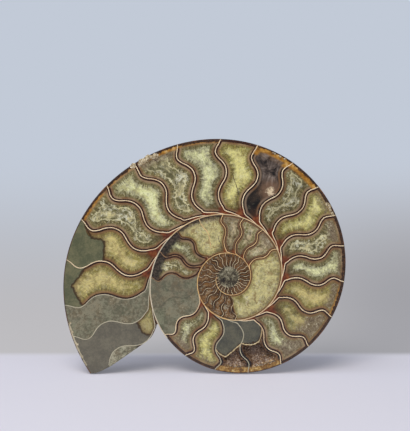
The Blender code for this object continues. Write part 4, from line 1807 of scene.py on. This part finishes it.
@dataclass(frozen=True)
class Softbox:
    """A square lamp that looks at the coil's middle.

    Attributes:
        place: metres from the middle.
        size: its side in metres.
        watts: its power.
        colour: its sRGB hex colour.
    """

    place: tuple[float, float, float]
    size: float
    watts: float
    colour: str

    def build(self, name: str) -> None:
        """Adds the lamp under a name."""
        lamp = bpy.data.lights.new(name, "AREA")
        lamp.size = self.size
        lamp.energy = self.watts
        lamp.color = srgb(self.colour)[:3]
        stand = bpy.data.objects.new(name, lamp)
        stand.location = TO_WORLD.translation + Vector(self.place)
        stand.rotation_euler = (-Vector(self.place)).to_track_quat("-Z", "Y").to_euler()
        bpy.context.scene.collection.objects.link(stand)


SOFTBOXES = {
    "key": Softbox((-0.24, -0.72, 1.05), 0.7, 10.5, "FFF6E8"),
    "fill": Softbox((0.8, -0.8, 0.35), 0.9, 1.2, "F4F6FF"),
    "top": Softbox((-0.40, -0.25, 1.2), 0.8, 6.0, "F4F7FF"),
}


@dataclass
class Studio:
    """The pale table, the soft light and the camera of the photograph.

    Attributes:
        photo_size: width and height in pixels.
        mm_per_pixel: size of a pixel on the sawn face.
        middle_in_photo: pixel at which the coil's middle is seen.
        camera_distance: mm from the face.
        sensor: the camera's sensor in mm.
        ambient: strength of the sky as a light; the camera sees it at 1.
        table_size: metres from the table's middle to its edge.
        paper: the table's finish, whose far colour is the sky's too.
    """

    photo_size: tuple[int, int] = (410, 431)
    mm_per_pixel: float = 0.5694
    middle_in_photo: tuple[float, float] = (228.5, 277.0)
    camera_distance: float = 600.0
    sensor: float = 36.0
    ambient: float = 0.36
    table_size: float = 40.0
    paper: PaperFinish = PaperFinish()

    def table(self) -> None:
        """A wide table, pale near the object and greyer where it runs back."""
        mesh = bmesh.new()
        bmesh.ops.create_grid(mesh, x_segments=8, y_segments=8, size=self.table_size)
        table = linked("table", mesh)
        table.data.materials.append(self.paper.build("backdrop"))

    def sky(self) -> None:
        """Surrounds the scene with the wall's colour, which lights it less than the camera sees."""
        world = bpy.data.worlds.new("studio")
        world.use_nodes = True
        nodes, links = world.node_tree.nodes, world.node_tree.links
        background = nodes["Background"]
        background.inputs["Color"].default_value = srgb(self.paper.far)
        seen = nodes.new("ShaderNodeLightPath").outputs["Is Camera Ray"]
        strength = nodes.new("ShaderNodeMapRange")
        strength.inputs["To Min"].default_value = self.ambient
        links.new(seen, strength.inputs["Value"])
        links.new(strength.outputs[0], background.inputs["Strength"])
        bpy.context.scene.world = world
        bpy.context.scene.view_settings.view_transform = "Standard"

    def camera(self) -> None:
        """A long lens square to the sawn face, with the object where the photograph has it."""
        width, height = self.photo_size
        across = (width / 2 - self.middle_in_photo[0]) * self.mm_per_pixel
        up = (self.middle_in_photo[1] - height / 2) * self.mm_per_pixel
        data = bpy.data.cameras.new("camera")
        data.sensor_width = self.sensor
        data.lens = self.sensor * self.camera_distance / (height * self.mm_per_pixel)
        data.clip_start = 0.01
        camera = bpy.data.objects.new("camera", data)
        bpy.context.scene.collection.objects.link(camera)
        spot = Matrix.Translation(Vector((across, -self.camera_distance, up)) * MM)
        camera.matrix_world = TO_WORLD @ spot @ Matrix.Rotation(math.radians(90), 4, "X")
        bpy.context.scene.camera = camera

    def build(self) -> None:
        """Sets up the whole studio."""
        self.table()
        for name, softbox in SOFTBOXES.items():
            softbox.build(name)
        self.sky()
        self.camera()


def main() -> None:
    """Builds the object and its studio."""
    logging.basicConfig(level=logging.INFO, format="%(name)s: %(message)s")
    face = SawnFace()
    BackShell().build(face.sockets())
    face.build()
    Stand().build()
    Studio().build()


if __name__ == "__main__":
    main()
